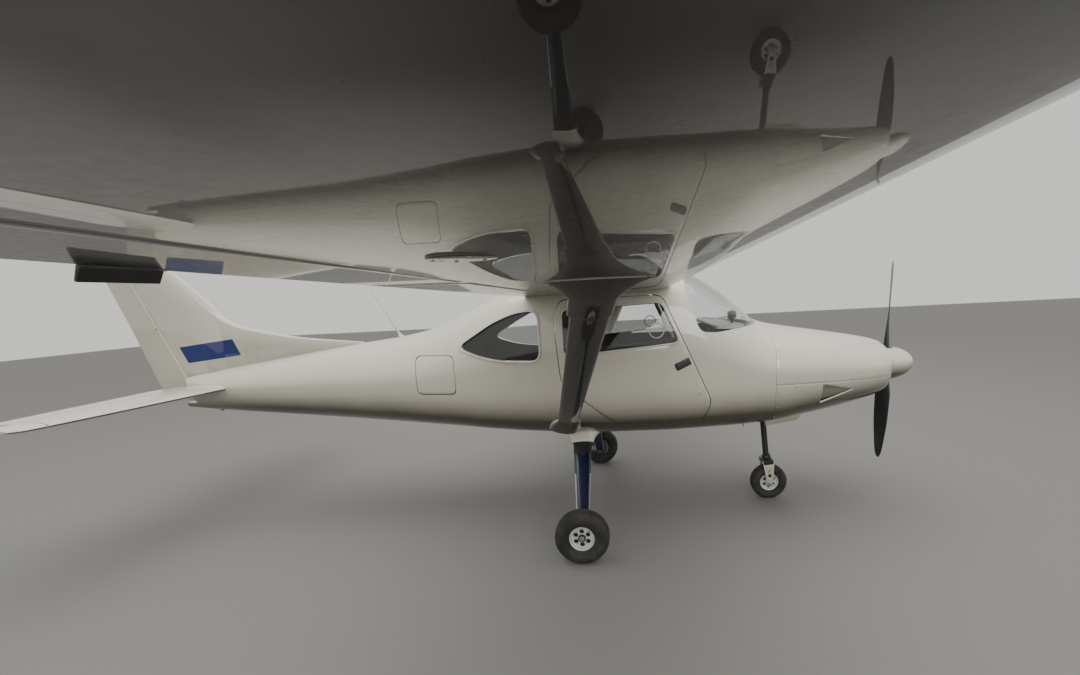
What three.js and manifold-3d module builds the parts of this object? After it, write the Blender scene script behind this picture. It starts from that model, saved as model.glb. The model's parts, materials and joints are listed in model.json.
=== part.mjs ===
// A two-seat light aircraft: high wing on one strut a side, tricycle gear, pulling propeller.
// Millimetres. +X is forward, +Y is to the left (port), +Z is up. The ground is z = 0.

import * as THREE from 'three';
import { mergeVertices } from 'three/addons/utils/BufferGeometryUtils.js';
import Module from 'manifold-3d';

const wasm = await Module();
wasm.setup();

// Driving dimensions
const NOSE_TIP_X = 3275;
const TAIL_END_X = -3275;
const FIT = 0.3;
const RUNNING_GAP = 7;
const PIN_RADIUS = 8;
const SIDE_REACH = 700;

const FIREWALL_X = 2100;
const CABIN_REAR_X = -620;
const COWL_FRONT_X = 3010;
const COWL_SPLIT_Z = 1050;
const COWL_WALL = 12;
const CABIN_WALL = 28;
const BOOM_WALL = 14;
const BOOM_END_X = -2700;
const GLASS_INSET = 4;
const GLASS_THICKNESS = 6;

const THRUST_Z = 1090;
const PROPELLER_X = 3075;
const PROPELLER_RADIUS = 762;
const SPINNER_RADIUS = 130;
const SPINNER_BACK_X = 3040;

const WING_ROOT_Y = 430;
const WING_LEADING_X = 1400;
const WING_CHORD = 1000;
const WING_CHORD_LINE_Z = 1755;
const WING_DIHEDRAL = THREE.MathUtils.degToRad(1.25);
const WING_INCIDENCE = THREE.MathUtils.degToRad(2);
const WING_HINGE_X = 655;
const FLAP_SPAN = [640, 2480];
const AILERON_SPAN = [2530, 4330];
const TAB_SPAN = [3150, 3270];

const TAIL_Z = 1120;
const TAIL_HALF_SPAN = 1445;
const ELEVATOR_HINGE_X = -2540;
const ELEVATOR_TUBE_RADIUS = 14;
const ELEVATOR_INNER_Y = 93;
const HORN_INNER_Y = 1300;
const RUDDER_HINGE_LOW = new THREE.Vector3(-2640, 0, 1140);
const RUDDER_HINGE_HIGH = new THREE.Vector3(-3050, 0, 2230);
const RUDDER_FOOT_Z = 1010;
const RUDDER_TRAVEL = THREE.MathUtils.degToRad(28);
const FIN_TOP_Z = 2325;
const FIN_HORN_Z = 2205;

const MAIN_WHEEL = { x: 760, y: 980, radius: 180, width: 132, rim: 84, axle: 14 };
const NOSE_WHEEL = { x: 2215, y: 0, radius: 144, width: 102, rim: 74, axle: 10 };
const NOSE_RAKE = Math.atan(0.107);
const NOSE_LEG_RADIUS = 23;

const STRUT_CHORD = 142;
const STRUT_THICKNESS = 42;

// The sections of the fuselage from the cowl's front to the tail.
// Columns: x, half width, bottom, height of the widest line, top, squareness above and below it
const SECTIONS = [
  [3010, 250, 915, 1085, 1250, 2.3, 2.3],
  [2975, 310, 890, 1085, 1276, 2.3, 2.3],
  [2850, 385, 850, 1085, 1312, 2.4, 2.4],
  [2620, 455, 795, 1085, 1356, 2.5, 2.5],
  [2360, 510, 745, 1090, 1402, 2.6, 2.6],
  [2110, 545, 705, 1095, 1455, 2.6, 2.8],
  [2030, 552, 700, 1098, 1487, 2.6, 2.8],
  [1900, 565, 694, 1105, 1602, 2.8, 2.9],
  [1720, 578, 688, 1112, 1745, 3.2, 3.0],
  [1540, 590, 684, 1118, 1845, 3.7, 3.1],
  [1350, 597, 681, 1120, 1880, 4.0, 3.2],
  [1000, 600, 680, 1120, 1885, 4.0, 3.2],
  [600, 592, 688, 1120, 1868, 4.0, 3.1],
  [300, 572, 702, 1120, 1815, 3.6, 3.0],
  [50, 540, 718, 1118, 1722, 3.1, 2.9],
  [-200, 500, 738, 1115, 1610, 2.8, 2.7],
  [-450, 455, 758, 1112, 1520, 2.5, 2.6],
  [-750, 398, 782, 1110, 1465, 2.4, 2.5],
  [-1150, 325, 815, 1108, 1420, 2.3, 2.4],
  [-1600, 250, 852, 1106, 1360, 2.2, 2.3],
  [-2100, 175, 892, 1104, 1295, 2.1, 2.2],
  [-2480, 95, 925, 1104, 1245, 2.1, 2.1],
  [-2700, 42, 950, 1104, 1215, 2.1, 2.1],
].map(([x, half, bottom, waist, top, above, below]) => ({ x, half, bottom, waist, top, above, below }));
const SECTION_POINTS = 24;

// Side outlines, as x and z
const DOOR_OUTLINE = [
  [1335, 1697],
  [1665, 960],
  [1600, 805],
  [1010, 805],
  [630, 1130],
  [600, 1560],
  [640, 1697],
];
const DOOR_WINDOW = [
  [1330, 1645],
  [1446, 1380],
  [662, 1320],
  [662, 1625],
];
const REAR_WINDOW = [
  [490, 1630],
  [330, 1622],
  [160, 1560],
  [-90, 1410],
  [50, 1335],
  [220, 1300],
  [490, 1290],
];
const WINDSCREEN = [
  [1500, 1950],
  [1490, 1720],
  [1585, 1440],
  [1700, 1430],
  [2060, 1476],
  [2110, 1484],
  [2110, 1950],
];
const HATCH_OUTLINE = [
  [-150, 1345],
  [-150, 1065],
  [-460, 1065],
  [-460, 1345],
];

const group = new THREE.Group();
group.name = 'light_aircraft';

// Solids

function geometryFrom(positions, index) {
  const geometry = new THREE.BufferGeometry();
  geometry.setAttribute('position', new THREE.Float32BufferAttribute(positions, 3));
  geometry.setIndex(index);
  return geometry;
}

function signedVolume(geometry) {
  const points = geometry.attributes.position;
  const index = geometry.index.array;
  const a = new THREE.Vector3();
  const b = new THREE.Vector3();
  const c = new THREE.Vector3();
  let total = 0;
  for (let i = 0; i < index.length; i += 3) {
    a.fromBufferAttribute(points, index[i]);
    b.fromBufferAttribute(points, index[i + 1]);
    c.fromBufferAttribute(points, index[i + 2]);
    total += a.dot(b.cross(c)) / 6;
  }
  return total;
}

function facingOut(geometry) {
  if (signedVolume(geometry) > 0) {
    return geometry;
  }
  const index = geometry.index.array;
  for (let i = 0; i < index.length; i += 3) {
    [index[i + 1], index[i + 2]] = [index[i + 2], index[i + 1]];
  }
  return geometry;
}

function solidOf(geometry) {
  const bare = geometry.clone();
  bare.deleteAttribute('normal');
  bare.deleteAttribute('uv');
  const merged = facingOut(mergeVertices(bare, 1e-3));
  const mesh = new wasm.Mesh({
    numProp: 3,
    vertProperties: Float32Array.from(merged.attributes.position.array),
    triVerts: Uint32Array.from(merged.index.array),
  });
  return new wasm.Manifold(mesh);
}

function geometryOf(solid) {
  const mesh = solid.getMesh();
  return geometryFrom(Array.from(mesh.vertProperties), Array.from(mesh.triVerts));
}

function mirrored(solid) {
  const geometry = geometryOf(solid);
  geometry.applyMatrix4(new THREE.Matrix4().makeScale(1, -1, 1));
  return solidOf(geometry);
}

function joined(...solids) {
  return solids.reduce((whole, piece) => whole.add(piece));
}

function cut(solid, ...tools) {
  return tools.reduce((whole, tool) => whole.subtract(tool), solid);
}

function vector(x, y, z) {
  return new THREE.Vector3(x, y, z);
}

function block(low, high) {
  const size = high.map((value, axis) => value - low[axis]);
  const geometry = new THREE.BoxGeometry(...size);
  geometry.translate(...low.map((value, axis) => value + size[axis] / 2));
  return solidOf(geometry);
}

/** A round bar between two points; a hole is widened so that its flats keep the radius. */
function bar(start, end, radius, { endRadius = radius, sides = 12, hole = false } = {}) {
  const grow = hole ? 1 / Math.cos(Math.PI / sides) : 1;
  const along = end.clone().sub(start);
  const geometry = new THREE.CylinderGeometry(endRadius * grow, radius * grow, along.length(), sides);
  const turn = new THREE.Quaternion().setFromUnitVectors(vector(0, 1, 0), along.normalize());
  geometry.applyQuaternion(turn);
  geometry.translate(...start.clone().add(end).multiplyScalar(0.5).toArray());
  return solidOf(geometry);
}

/**
 * A closed skin over rings with equal numbers of points, its ends closed by strips.
 * On an even-sided skin the right half's faces mirror the left half's.
 */
function loft(rings, evenSided = false) {
  const count = rings[0].length;
  const positions = rings.flat().flatMap((point) => point.toArray());
  const index = [];
  for (let ring = 0; ring < rings.length - 1; ring += 1) {
    for (let k = 0; k < count; k += 1) {
      const a = ring * count + k;
      const b = ring * count + ((k + 1) % count);
      const onRight = evenSided && Math.cos(((k + 1) / count) * 2 * Math.PI) < -1e-9;
      if (onRight) {
        index.push(a, b, a + count, b, b + count, a + count);
      } else {
        index.push(a, b, b + count, a, b + count, a + count);
      }
    }
  }
  closeEnd(index, 0, count, true);
  closeEnd(index, (rings.length - 1) * count, count, false);
  return solidOf(facingOut(geometryFrom(positions, index)));
}

function closeEnd(index, first, count, flipped) {
  const push = (a, b, c) => index.push(...(flipped ? [c, b, a] : [a, b, c]));
  let low = first;
  let high = first + count - 1;
  while (high - low > 1) {
    push(low, low + 1, high);
    if (high - low > 2) {
      push(low + 1, high - 1, high);
    }
    low += 1;
    high -= 1;
  }
}

/** A plate whose outline is drawn from the side, between two places across the aircraft. */
function sidePlate(outline, nearY, farY, radius = 0) {
  const shape = radius > 0 ? roundedShape(outline, radius) : polygonShape(outline);
  const geometry = new THREE.ExtrudeGeometry(shape, {
    depth: farY - nearY,
    bevelEnabled: false,
    curveSegments: 3,
  });
  geometry.rotateX(Math.PI / 2);
  geometry.translate(0, farY, 0);
  return solidOf(geometry);
}

function polygonShape(outline) {
  return new THREE.Shape(outline.map(([x, z]) => new THREE.Vector2(x, z)));
}

function roundedShape(outline, radius) {
  const points = outline.map(([x, z]) => new THREE.Vector2(x, z));
  const shape = new THREE.Shape();
  points.forEach((corner, k) => {
    const before = points[(k + points.length - 1) % points.length];
    const after = points[(k + 1) % points.length];
    const reachIn = Math.min(radius, corner.distanceTo(before) * 0.45);
    const reachOut = Math.min(radius, corner.distanceTo(after) * 0.45);
    const enter = corner.clone().add(before.clone().sub(corner).setLength(reachIn));
    const leave = corner.clone().add(after.clone().sub(corner).setLength(reachOut));
    if (k === 0) {
      shape.moveTo(enter.x, enter.y);
    } else {
      shape.lineTo(enter.x, enter.y);
    }
    shape.quadraticCurveTo(corner.x, corner.y, leave.x, leave.y);
  });
  shape.closePath();
  return shape;
}

/** Moves each side of an outline outwards by a margin; a negative margin shrinks it. */
function grown(outline, margin) {
  const points = outline.map(([x, z]) => new THREE.Vector2(x, z));
  const turning = Math.sign(THREE.ShapeUtils.area(points));
  return points.map((corner, k) => {
    const before = points[(k + points.length - 1) % points.length];
    const after = points[(k + 1) % points.length];
    const inward = corner.clone().sub(before).normalize();
    const outward = after.clone().sub(corner).normalize();
    const normalIn = new THREE.Vector2(inward.y, -inward.x).multiplyScalar(turning);
    const normalOut = new THREE.Vector2(outward.y, -outward.x).multiplyScalar(turning);
    const middle = normalIn.clone().add(normalOut).normalize();
    const reach = margin / Math.max(0.3, middle.dot(normalIn));
    return [corner.x + middle.x * reach, corner.y + middle.y * reach];
  });
}

function addNode(name, solid, material, parent = group) {
  const mesh = new THREE.Mesh(geometryOf(solid), material);
  mesh.name = name;
  parent.add(mesh);
  return mesh;
}

/** The same piece on the left side and, mirrored, on the right. */
function addPair(name, solid, makeMaterial) {
  addNode(`${name}_left`, solid, makeMaterial());
  addNode(`${name}_right`, mirrored(solid), makeMaterial());
}

function finish(color, roughness, metalness) {
  return new THREE.MeshStandardMaterial({ color, roughness, metalness });
}

const gelcoat = () => finish(0xf1ece0, 0.25, 0);
const darkBlade = () => finish(0x24262b, 0.35, 0);
const clearGlass = () => finish(0xbfd0d6, 0.08, 0);
const bareMetal = () => finish(0xb9bdc2, 0.35, 0.9);
const blackMetal = () => finish(0x1d1e20, 0.4, 0.3);
const tyreRubber = () => finish(0x1c1c1d, 0.85, 0);
const seatCloth = () => finish(0x3a3d44, 0.9, 0);
const trimPlastic = () => finish(0x2a2b2e, 0.7, 0);

// Fuselage

function superRing(section, inset, x = section.x) {
  const ring = [];
  for (let k = 0; k < SECTION_POINTS; k += 1) {
    const angle = ((k + 0.5) / SECTION_POINTS) * 2 * Math.PI;
    const up = Math.sin(angle) > 0;
    const power = 2 / (up ? section.above : section.below);
    const across = Math.sign(Math.cos(angle)) * Math.abs(Math.cos(angle)) ** power;
    const rise = Math.abs(Math.sin(angle)) ** power;
    const reach = up ? section.top - section.waist : section.bottom - section.waist;
    const shrink = up ? -inset : inset;
    ring.push(vector(x, across * (section.half - inset), section.waist + rise * (reach + shrink)));
  }
  return ring;
}

function sectionAt(x) {
  const k = SECTIONS.findIndex((section) => section.x <= x);
  const fore = SECTIONS[Math.max(0, k - 1)];
  const aft = SECTIONS[k];
  const share = fore === aft ? 0 : (fore.x - x) / (fore.x - aft.x);
  const mixed = {};
  Object.keys(aft).forEach((key) => {
    mixed[key] = fore[key] + (aft[key] - fore[key]) * share;
  });
  return mixed;
}

/** The fuselage between two stations, drawn in from its skin by an inset. */
function hull(fromX, toX, inset) {
  const between = SECTIONS.filter((section) => section.x < fromX - 1 && section.x > toX + 1);
  const rings = [sectionAt(fromX), ...between, sectionAt(toX)].map((section) => superRing(section, inset));
  return loft(rings, true);
}

/** The half width of the skin at a station and height. */
function skinY(x, z) {
  const section = sectionAt(x);
  const up = z > section.waist;
  const reach = up ? section.top - section.waist : section.waist - section.bottom;
  const power = up ? section.above : section.below;
  const rise = Math.min(1, Math.abs(z - section.waist) / reach);
  return section.half * (1 - rise ** power) ** (1 / power);
}

const outerClear = hull(FIREWALL_X, BOOM_END_X, -FIT);

const HINGE_REACH = 50;
const KNUCKLE_LENGTH = 30;
const KNUCKLE_RADIUS = 8;
const HINGE_PIN_RADIUS = 4;
const HINGE_STAND_OFF = 8;

/** The two leaves of a pin hinge whose pin is upright beside the skin on the left. */
function pinHinge({ x, y, z, doorAhead, doorEdge }) {
  const leafFace = KNUCKLE_RADIUS - 3;
  const leaf = (direction, low, high, edge) => {
    const far = edge + direction * HINGE_REACH;
    const near = edge + direction * 6;
    return joined(
      bar(vector(x, y, low), vector(x, y, high), KNUCKLE_RADIUS),
      block([Math.min(x, far), y - 3, low], [Math.max(x, far), y + leafFace, high]),
      block([Math.min(near, far), y - 32, low], [Math.max(near, far), y + leafFace, high]),
    );
  };
  const doorDirection = doorAhead ? 1 : -1;
  const pin = bar(vector(x, y, z - 12), vector(x, y, z + KNUCKLE_LENGTH - 3), HINGE_PIN_RADIUS);
  const bore = bar(
    vector(x, y, z - 1),
    vector(x, y, z + KNUCKLE_LENGTH + 1),
    HINGE_PIN_RADIUS + FIT,
    { hole: true },
  );
  return {
    fixed: joined(leaf(-doorDirection, z - KNUCKLE_LENGTH, z - 0.4, x - doorDirection * 10), pin),
    moving: leaf(doorDirection, z, z + KNUCKLE_LENGTH, doorEdge).subtract(bore),
  };
}

const DOOR_AXIS = {
  x: 588,
  y: skinY(600, 1120) + HINGE_STAND_OFF,
  doorAhead: true,
  leaves: [[1200, 627], [1465, 610]],
};
const HATCH_AXIS = {
  x: -141,
  y: skinY(-141, 1120) + HINGE_STAND_OFF,
  doorAhead: false,
  leaves: [[1110, -153], [1260, -153]],
};
const hingesOn = (axis) => axis.leaves.map(([z, doorEdge]) => pinHinge({ ...axis, z, doorEdge }));
const DOOR_GAP = 6;

const sideCut = (outline, radius) => sidePlate(outline, 300, 720, radius);

// The door's latch: its middle and half sizes, as x and z
const LATCH = { x: 1466, z: 1232, halfLength: 55, halfHeight: 26 };

/** The latch's outline, square to the leaning front edge of the door. */
function handleOutline() {
  const [head, foot] = DOOR_OUTLINE;
  const lean = Math.atan2(foot[0] - head[0], head[1] - foot[1]);
  const [forward, upward] = [Math.cos(lean), Math.sin(lean)];
  return [[-1, 1], [1, 1], [1, -1], [-1, -1]].map(([alongSign, acrossSign]) => {
    const along = alongSign * LATCH.halfLength;
    const across = acrossSign * LATCH.halfHeight;
    return [
      LATCH.x + along * forward - across * upward,
      LATCH.z + along * upward + across * forward,
    ];
  });
}

function makeCabin() {
  const skin = hull(FIREWALL_X, CABIN_REAR_X, 0);
  const room = hull(FIREWALL_X - 25, CABIN_REAR_X + 20, CABIN_WALL);
  const doorHole = sideCut(grown(DOOR_OUTLINE, DOOR_GAP / 2), 60);
  const doorPlug = sideCut(grown(DOOR_OUTLINE, -DOOR_GAP / 2), 60);
  const doorWindow = sideCut(DOOR_WINDOW, 45);
  const rearWindow = sideCut(REAR_WINDOW, 40);
  const hatchHole = sideCut(grown(HATCH_OUTLINE, DOOR_GAP / 2), 30);
  const hatchPlug = sideCut(grown(HATCH_OUTLINE, -DOOR_GAP / 2), 30);
  const windscreenHole = sidePlate(WINDSCREEN, -SIDE_REACH, SIDE_REACH);
  const wall = skin.subtract(room);
  const pane = hull(FIREWALL_X, CABIN_REAR_X, GLASS_INSET)
    .subtract(hull(FIREWALL_X + 1, CABIN_REAR_X - 1, GLASS_INSET + GLASS_THICKNESS));
  const paneIn = (outline, radius) => pane.intersect(sideCut(grown(outline, -FIT), radius));

  const doorHinges = hingesOn(DOOR_AXIS);
  const hatchHinges = hingesOn(HATCH_AXIS);
  const fixedDoorLeaves = joined(...doorHinges.map((hinge) => hinge.fixed));
  const fixedHatchLeaves = joined(...hatchHinges.map((hinge) => hinge.fixed));

  const shell = cut(
    wall,
    doorHole,
    mirrored(doorHole),
    rearWindow,
    mirrored(rearWindow),
    mirrored(hatchHole),
    windscreenHole,
  );
  addNode(
    'cabin_shell',
    joined(shell, fixedDoorLeaves, mirrored(fixedDoorLeaves), mirrored(fixedHatchLeaves)),
    gelcoat(),
  );

  const door = joined(
    wall.intersect(doorPlug).subtract(doorWindow),
    ...doorHinges.map((hinge) => hinge.moving),
  );
  const glass = paneIn(DOOR_WINDOW, 45);
  const handle = hull(1700, 1300, -12)
    .intersect(sideCut(handleOutline(), 14))
    .subtract(outerClear);
  addPair('door', door, gelcoat);
  addPair('door_glass', glass, clearGlass);
  addPair('door_handle', handle, blackMetal);

  const hatch = joined(wall.intersect(hatchPlug), ...hatchHinges.map((hinge) => hinge.moving));
  addNode('baggage_hatch', mirrored(hatch), gelcoat());

  const rearPane = paneIn(REAR_WINDOW, 40);
  addPair('rear_window', rearPane, clearGlass);
  const windscreen = pane.intersect(sidePlate(grown(WINDSCREEN, -FIT), -SIDE_REACH, SIDE_REACH));
  const windscreenFloor = block([1400, -SIDE_REACH, 1300], [FIREWALL_X - 2, SIDE_REACH, 2000]);
  addNode('windscreen', windscreen.intersect(windscreenFloor), clearGlass());
}

function makeTailBoom() {
  const skin = hull(CABIN_REAR_X - FIT, BOOM_END_X, 0);
  const room = hull(CABIN_REAR_X, -2200, BOOM_WALL);
  const tubeHole = bar(
    vector(ELEVATOR_HINGE_X, -200, TAIL_Z),
    vector(ELEVATOR_HINGE_X, 200, TAIL_Z),
    ELEVATOR_TUBE_RADIUS + 6,
    { hole: true },
  );
  const axis = rudderAxis();
  const behind = behindRudderHinge();
  const cove = rudderNose(RUDDER_FOOT_Z - 12, FIN_HORN_Z, RUNNING_GAP);
  const foot = bar(
    axis.at(RUDDER_FOOT_Z - 40),
    axis.at(RUDDER_FOOT_Z + 4),
    PIN_RADIUS + FIT,
    { hole: true },
  );
  const heel = sidePlate([[-2530, 900], [-2530, 990], [-2800, 990], [-2800, 900]], -100, 100)
    .intersect(skin);
  const boom = joined(cut(skin, room, behind, cove), heel);
  const tailSlot = levelTail(FIT);
  addNode('tail_boom', cut(boom, tubeHole, foot, tailSlot), gelcoat());
}

// Wing

const AIRFOIL_STEPS = 9;
const AIRFOIL_CAMBER = 0.03;
const AIRFOIL_CAMBER_AT = 0.4;
const TRAILING_EDGE = 0.0025;

function airfoilHalf(share, thickness) {
  const root = 0.2969 * Math.sqrt(share);
  const rest = -0.126 * share - 0.3516 * share ** 2 + 0.2843 * share ** 3 - 0.1036 * share ** 4;
  return 5 * thickness * (root + rest) + TRAILING_EDGE * share;
}

function camberLine(share, camber) {
  const peak = AIRFOIL_CAMBER_AT;
  return share < peak
    ? (camber / peak ** 2) * (2 * peak * share - share ** 2)
    : (camber / (1 - peak) ** 2) * (1 - 2 * peak + 2 * peak * share - share ** 2);
}

/** Upper points from the trailing edge to the nose, then lower points back, as share and height. */
function airfoil(thickness, camber) {
  const shares = [];
  for (let k = 0; k <= AIRFOIL_STEPS; k += 1) {
    shares.push((1 + Math.cos((k / AIRFOIL_STEPS) * Math.PI)) / 2);
  }
  const upper = shares.map((s) => [s, camberLine(s, camber) + airfoilHalf(s, thickness)]);
  const lower = shares.map((s) => [s, camberLine(s, camber) - airfoilHalf(s, thickness)]);
  return [...upper, ...lower.slice(0, -1).reverse()];
}

// The wing from root to tip.
// Columns: y, chord, leading edge behind the root's, thickness as a share of the chord, lift of the tip
const WING_STATIONS = [
  [WING_ROOT_Y, 1000, 0, 0.125, 0],
  [4380, 1000, 0, 0.125, 0],
  [4600, 945, 35, 0.118, 2],
  [4740, 820, 115, 0.1, 12],
  [4800, 640, 220, 0.07, 26],
].map(([y, chord, back, thickness, lift]) => ({ y, chord, back, thickness, lift }));

const dihedralRise = (y) => (y - WING_ROOT_Y) * Math.tan(WING_DIHEDRAL);

function wingPoint(share, height, station) {
  const quarter = 0.25;
  const along = (share - quarter) * station.chord;
  const up = height * station.chord;
  const turnedAlong = along * Math.cos(WING_INCIDENCE) + up * Math.sin(WING_INCIDENCE);
  const turnedUp = up * Math.cos(WING_INCIDENCE) - along * Math.sin(WING_INCIDENCE);
  const x = WING_LEADING_X - station.back - quarter * station.chord - turnedAlong;
  const z = WING_CHORD_LINE_Z + turnedUp + dihedralRise(station.y) + station.lift;
  return vector(x, station.y, z);
}

const wingRing = (station) => airfoil(station.thickness, AIRFOIL_CAMBER)
  .map(([share, height]) => wingPoint(share, height, station));

const HINGE_SHARE = (WING_LEADING_X - WING_HINGE_X) / WING_CHORD;
const WING_HINGE_RADIUS = airfoilHalf(HINGE_SHARE, 0.125) * WING_CHORD - 1;
const ROOT_STATION = WING_STATIONS[0];

/** The hinge line of a flap or aileron, at a place along the span. */
function wingHinge(y) {
  const height = camberLine(HINGE_SHARE, AIRFOIL_CAMBER);
  const point = wingPoint(HINGE_SHARE, height, ROOT_STATION);
  return vector(point.x, y, point.z + dihedralRise(y));
}

function surfaceOf(whole, [inner, outer]) {
  const front = wingHinge(inner).x;
  const rear = block([0, inner + RUNNING_GAP, 1500], [front, outer - RUNNING_GAP, 2100]);
  const nose = bar(
    wingHinge(inner + RUNNING_GAP),
    wingHinge(outer - RUNNING_GAP),
    WING_HINGE_RADIUS,
    { sides: 20 },
  );
  const pin = bar(wingHinge(inner - 14), wingHinge(outer + 14), PIN_RADIUS);
  return joined(whole.intersect(rear), nose, pin);
}

function coveOf([inner, outer]) {
  const front = wingHinge(inner).x;
  const rear = block([0, inner, 1500], [front, outer, 2100]);
  const radius = WING_HINGE_RADIUS + RUNNING_GAP;
  const cove = bar(wingHinge(inner), wingHinge(outer), radius, { hole: true, sides: 20 });
  const bore = bar(wingHinge(inner - 17), wingHinge(outer + 17), PIN_RADIUS + FIT, { hole: true });
  return joined(rear, cove, bore);
}

function makeWings() {
  const whole = loft(WING_STATIONS.map(wingRing)).subtract(outerClear);
  const wing = cut(whole, coveOf(FLAP_SPAN), coveOf(AILERON_SPAN));
  const flap = surfaceOf(whole, FLAP_SPAN);
  const aileron = surfaceOf(whole, AILERON_SPAN);
  addPair('wing', wing, gelcoat);
  addPair('flap', flap, gelcoat);
  addNode('aileron_left', aileron, gelcoat());
  addNode('aileron_right', joined(mirrored(aileron), mirrored(makeTrimTab())), gelcoat());
  return whole;
}

/** The bent plate behind the right aileron, drawn on the left like the rest. */
function makeTrimTab() {
  const edge = wingPoint(1, 0, { ...ROOT_STATION, y: (TAB_SPAN[0] + TAB_SPAN[1]) / 2 });
  const outline = [
    [22, 0],
    [-3, -1],
    [-12, -22],
    [-8, -24],
    [3, -6],
    [22, -4],
  ].map(([x, z]) => [edge.x + x, edge.z + z]);
  return sidePlate(outline, ...TAB_SPAN);
}

// Struts

/** A streamlined ring across a line, its long way fore and aft. */
function streamRing(centre, along, chord, thickness, points = 16) {
  const fore = vector(1, 0, 0);
  const side = fore.clone().cross(along).normalize();
  const ring = [];
  for (let k = 0; k < points; k += 1) {
    const angle = ((k + 0.5) / points) * 2 * Math.PI;
    const ahead = Math.cos(angle) > 0 ? 0.36 : 0.64;
    const reach = Math.cos(angle) * ahead * chord;
    ring.push(
      centre.clone()
        .addScaledVector(fore, reach)
        .addScaledVector(side, (Math.sin(angle) * thickness) / 2),
    );
  }
  return ring;
}

const STRUT_FOOT = vector(655, 470, 800);
const STRUT_TOP = vector(1050, 2400, 1745);
const CUFF_START = 0.905;

function makeStruts(wingWhole) {
  const along = STRUT_TOP.clone().sub(STRUT_FOOT).normalize();
  const at = (share) => STRUT_FOOT.clone().lerp(STRUT_TOP, share);
  const rings = [
    [0, 1.75, 3.2],
    [0.055, 1.4, 2.0],
    [0.09, 1, 1.0],
    [CUFF_START, 1, 1],
    [CUFF_START, 1.12, 1.25],
    [0.94, 1.2, 1.45],
    [0.965, 1.55, 1.8],
    [0.995, 2.5, 3.2],
  ].map(([share, long, thick]) => (
    streamRing(at(share), along, STRUT_CHORD * long, STRUT_THICKNESS * thick)
  ));
  const lowered = new THREE.Matrix4().makeTranslation(0, 0, -FIT);
  const wingClear = solidOf(geometryOf(wingWhole).applyMatrix4(lowered));
  const above = block([200, 1800, 1790], [1700, 3000, 2200]);
  addPair('strut', cut(loft(rings), outerClear, wingClear, above), gelcoat);
}

// Tail

function rudderAxis() {
  const along = RUDDER_HINGE_HIGH.clone().sub(RUDDER_HINGE_LOW).normalize();
  const at = (z) => RUDDER_HINGE_LOW.clone()
    .addScaledVector(along, (z - RUDDER_HINGE_LOW.z) / along.z);
  return { along, at };
}

/** The rudder's rounded nose between two heights, flush with the fin's skin, or its room with a gap. */
function rudderNose(lowZ, highZ, gap = 0) {
  const { at } = rudderAxis();
  const radius = (z) => 28 - (7 * (z - RUDDER_FOOT_Z)) / (FIN_HORN_Z - RUDDER_FOOT_Z) + gap;
  return bar(at(lowZ), at(highZ), radius(lowZ), { endRadius: radius(highZ), hole: gap > 0, sides: 24 });
}

/** Everything behind the swept hinge line of the rudder. */
function behindRudderHinge() {
  const { at } = rudderAxis();
  const outline = [
    [at(992).x, 992],
    [at(2500).x, 2500],
    [-3600, 2500],
    [-3600, 992],
  ];
  return sidePlate(outline, -300, 300);
}

// The upright tail as one shape, rudder and all.
// Columns: z, leading edge, trailing edge, thickness
const FIN_STATIONS = [
  [1000, -2010, -2885, 84],
  [1200, -2050, -2945, 86],
  [1620, -2190, -3060, 84],
  [2205, -2715, -3240, 58],
  [2290, -2800, -3268, 44],
  [FIN_TOP_Z, -2900, TAIL_END_X, 16],
].map(([z, front, rear, thickness]) => ({ z, front, rear, thickness }));

// The fillet in front of the fin.
// Columns: x, foot, top, thickness
const DORSAL_STATIONS = [
  [-1060, 1405, 1440, 16],
  [-1600, 1330, 1505, 30],
  [-2190, 1260, 1630, 50],
  [-2330, 1240, 1700, 60],
].map(([x, low, high, thickness]) => ({ x, low, high, thickness }));

function finRing({ z, front, rear, thickness }) {
  const chord = front - rear;
  return airfoil(thickness / chord, 0)
    .map(([share, height]) => vector(front - share * chord, height * chord, z));
}

function makeFin() {
  const whole = loft(FIN_STATIONS.map(finRing));
  const behind = behindRudderHinge();
  const axis = rudderAxis();
  const cove = rudderNose(RUDDER_FOOT_Z - 80, FIN_HORN_Z + 60, RUNNING_GAP);
  const horn = block([-3400, -100, FIN_HORN_Z - RUNNING_GAP], [-2500, 100, 2400]);
  const hornOnly = block([-3400, -100, FIN_HORN_Z], [-2500, 100, 2400]);
  const headBore = bar(
    axis.at(FIN_HORN_Z - 45),
    axis.at(FIN_HORN_Z + 10),
    PIN_RADIUS + FIT,
    { hole: true },
  );
  const dorsal = loft(DORSAL_STATIONS.map(dorsalRing));
  addNode('fin', cut(joined(whole, dorsal), behind, cove, horn, outerClear, headBore), gelcoat());

  const belowFoot = block([-3400, -200, 800], [-2300, 200, RUDDER_FOOT_Z]);
  const nose = rudderNose(RUDDER_FOOT_Z, FIN_HORN_Z - 2 * RUNNING_GAP);
  const rudderBlade = joined(
    whole.intersect(behind),
    whole.intersect(hornOnly),
    cut(nose, block([-3400, -200, FIN_HORN_Z - RUNNING_GAP], [-2300, 200, 2400])),
  );
  const footPin = bar(axis.at(RUDDER_FOOT_Z - 36), axis.at(RUDDER_FOOT_Z + 30), PIN_RADIUS);
  addNode('rudder', joined(cut(rudderBlade, belowFoot), footPin), gelcoat());
}

function dorsalRing({ x, low, high, thickness }) {
  const half = thickness / 2;
  return [
    [half * 1.6, low],
    [half, high - half * 1.4],
    [half * 0.55, high - half * 0.3],
    [-half * 0.55, high - half * 0.3],
    [-half, high - half * 1.4],
    [-half * 1.6, low],
  ].map(([y, z]) => vector(x, y, z));
}

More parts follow.
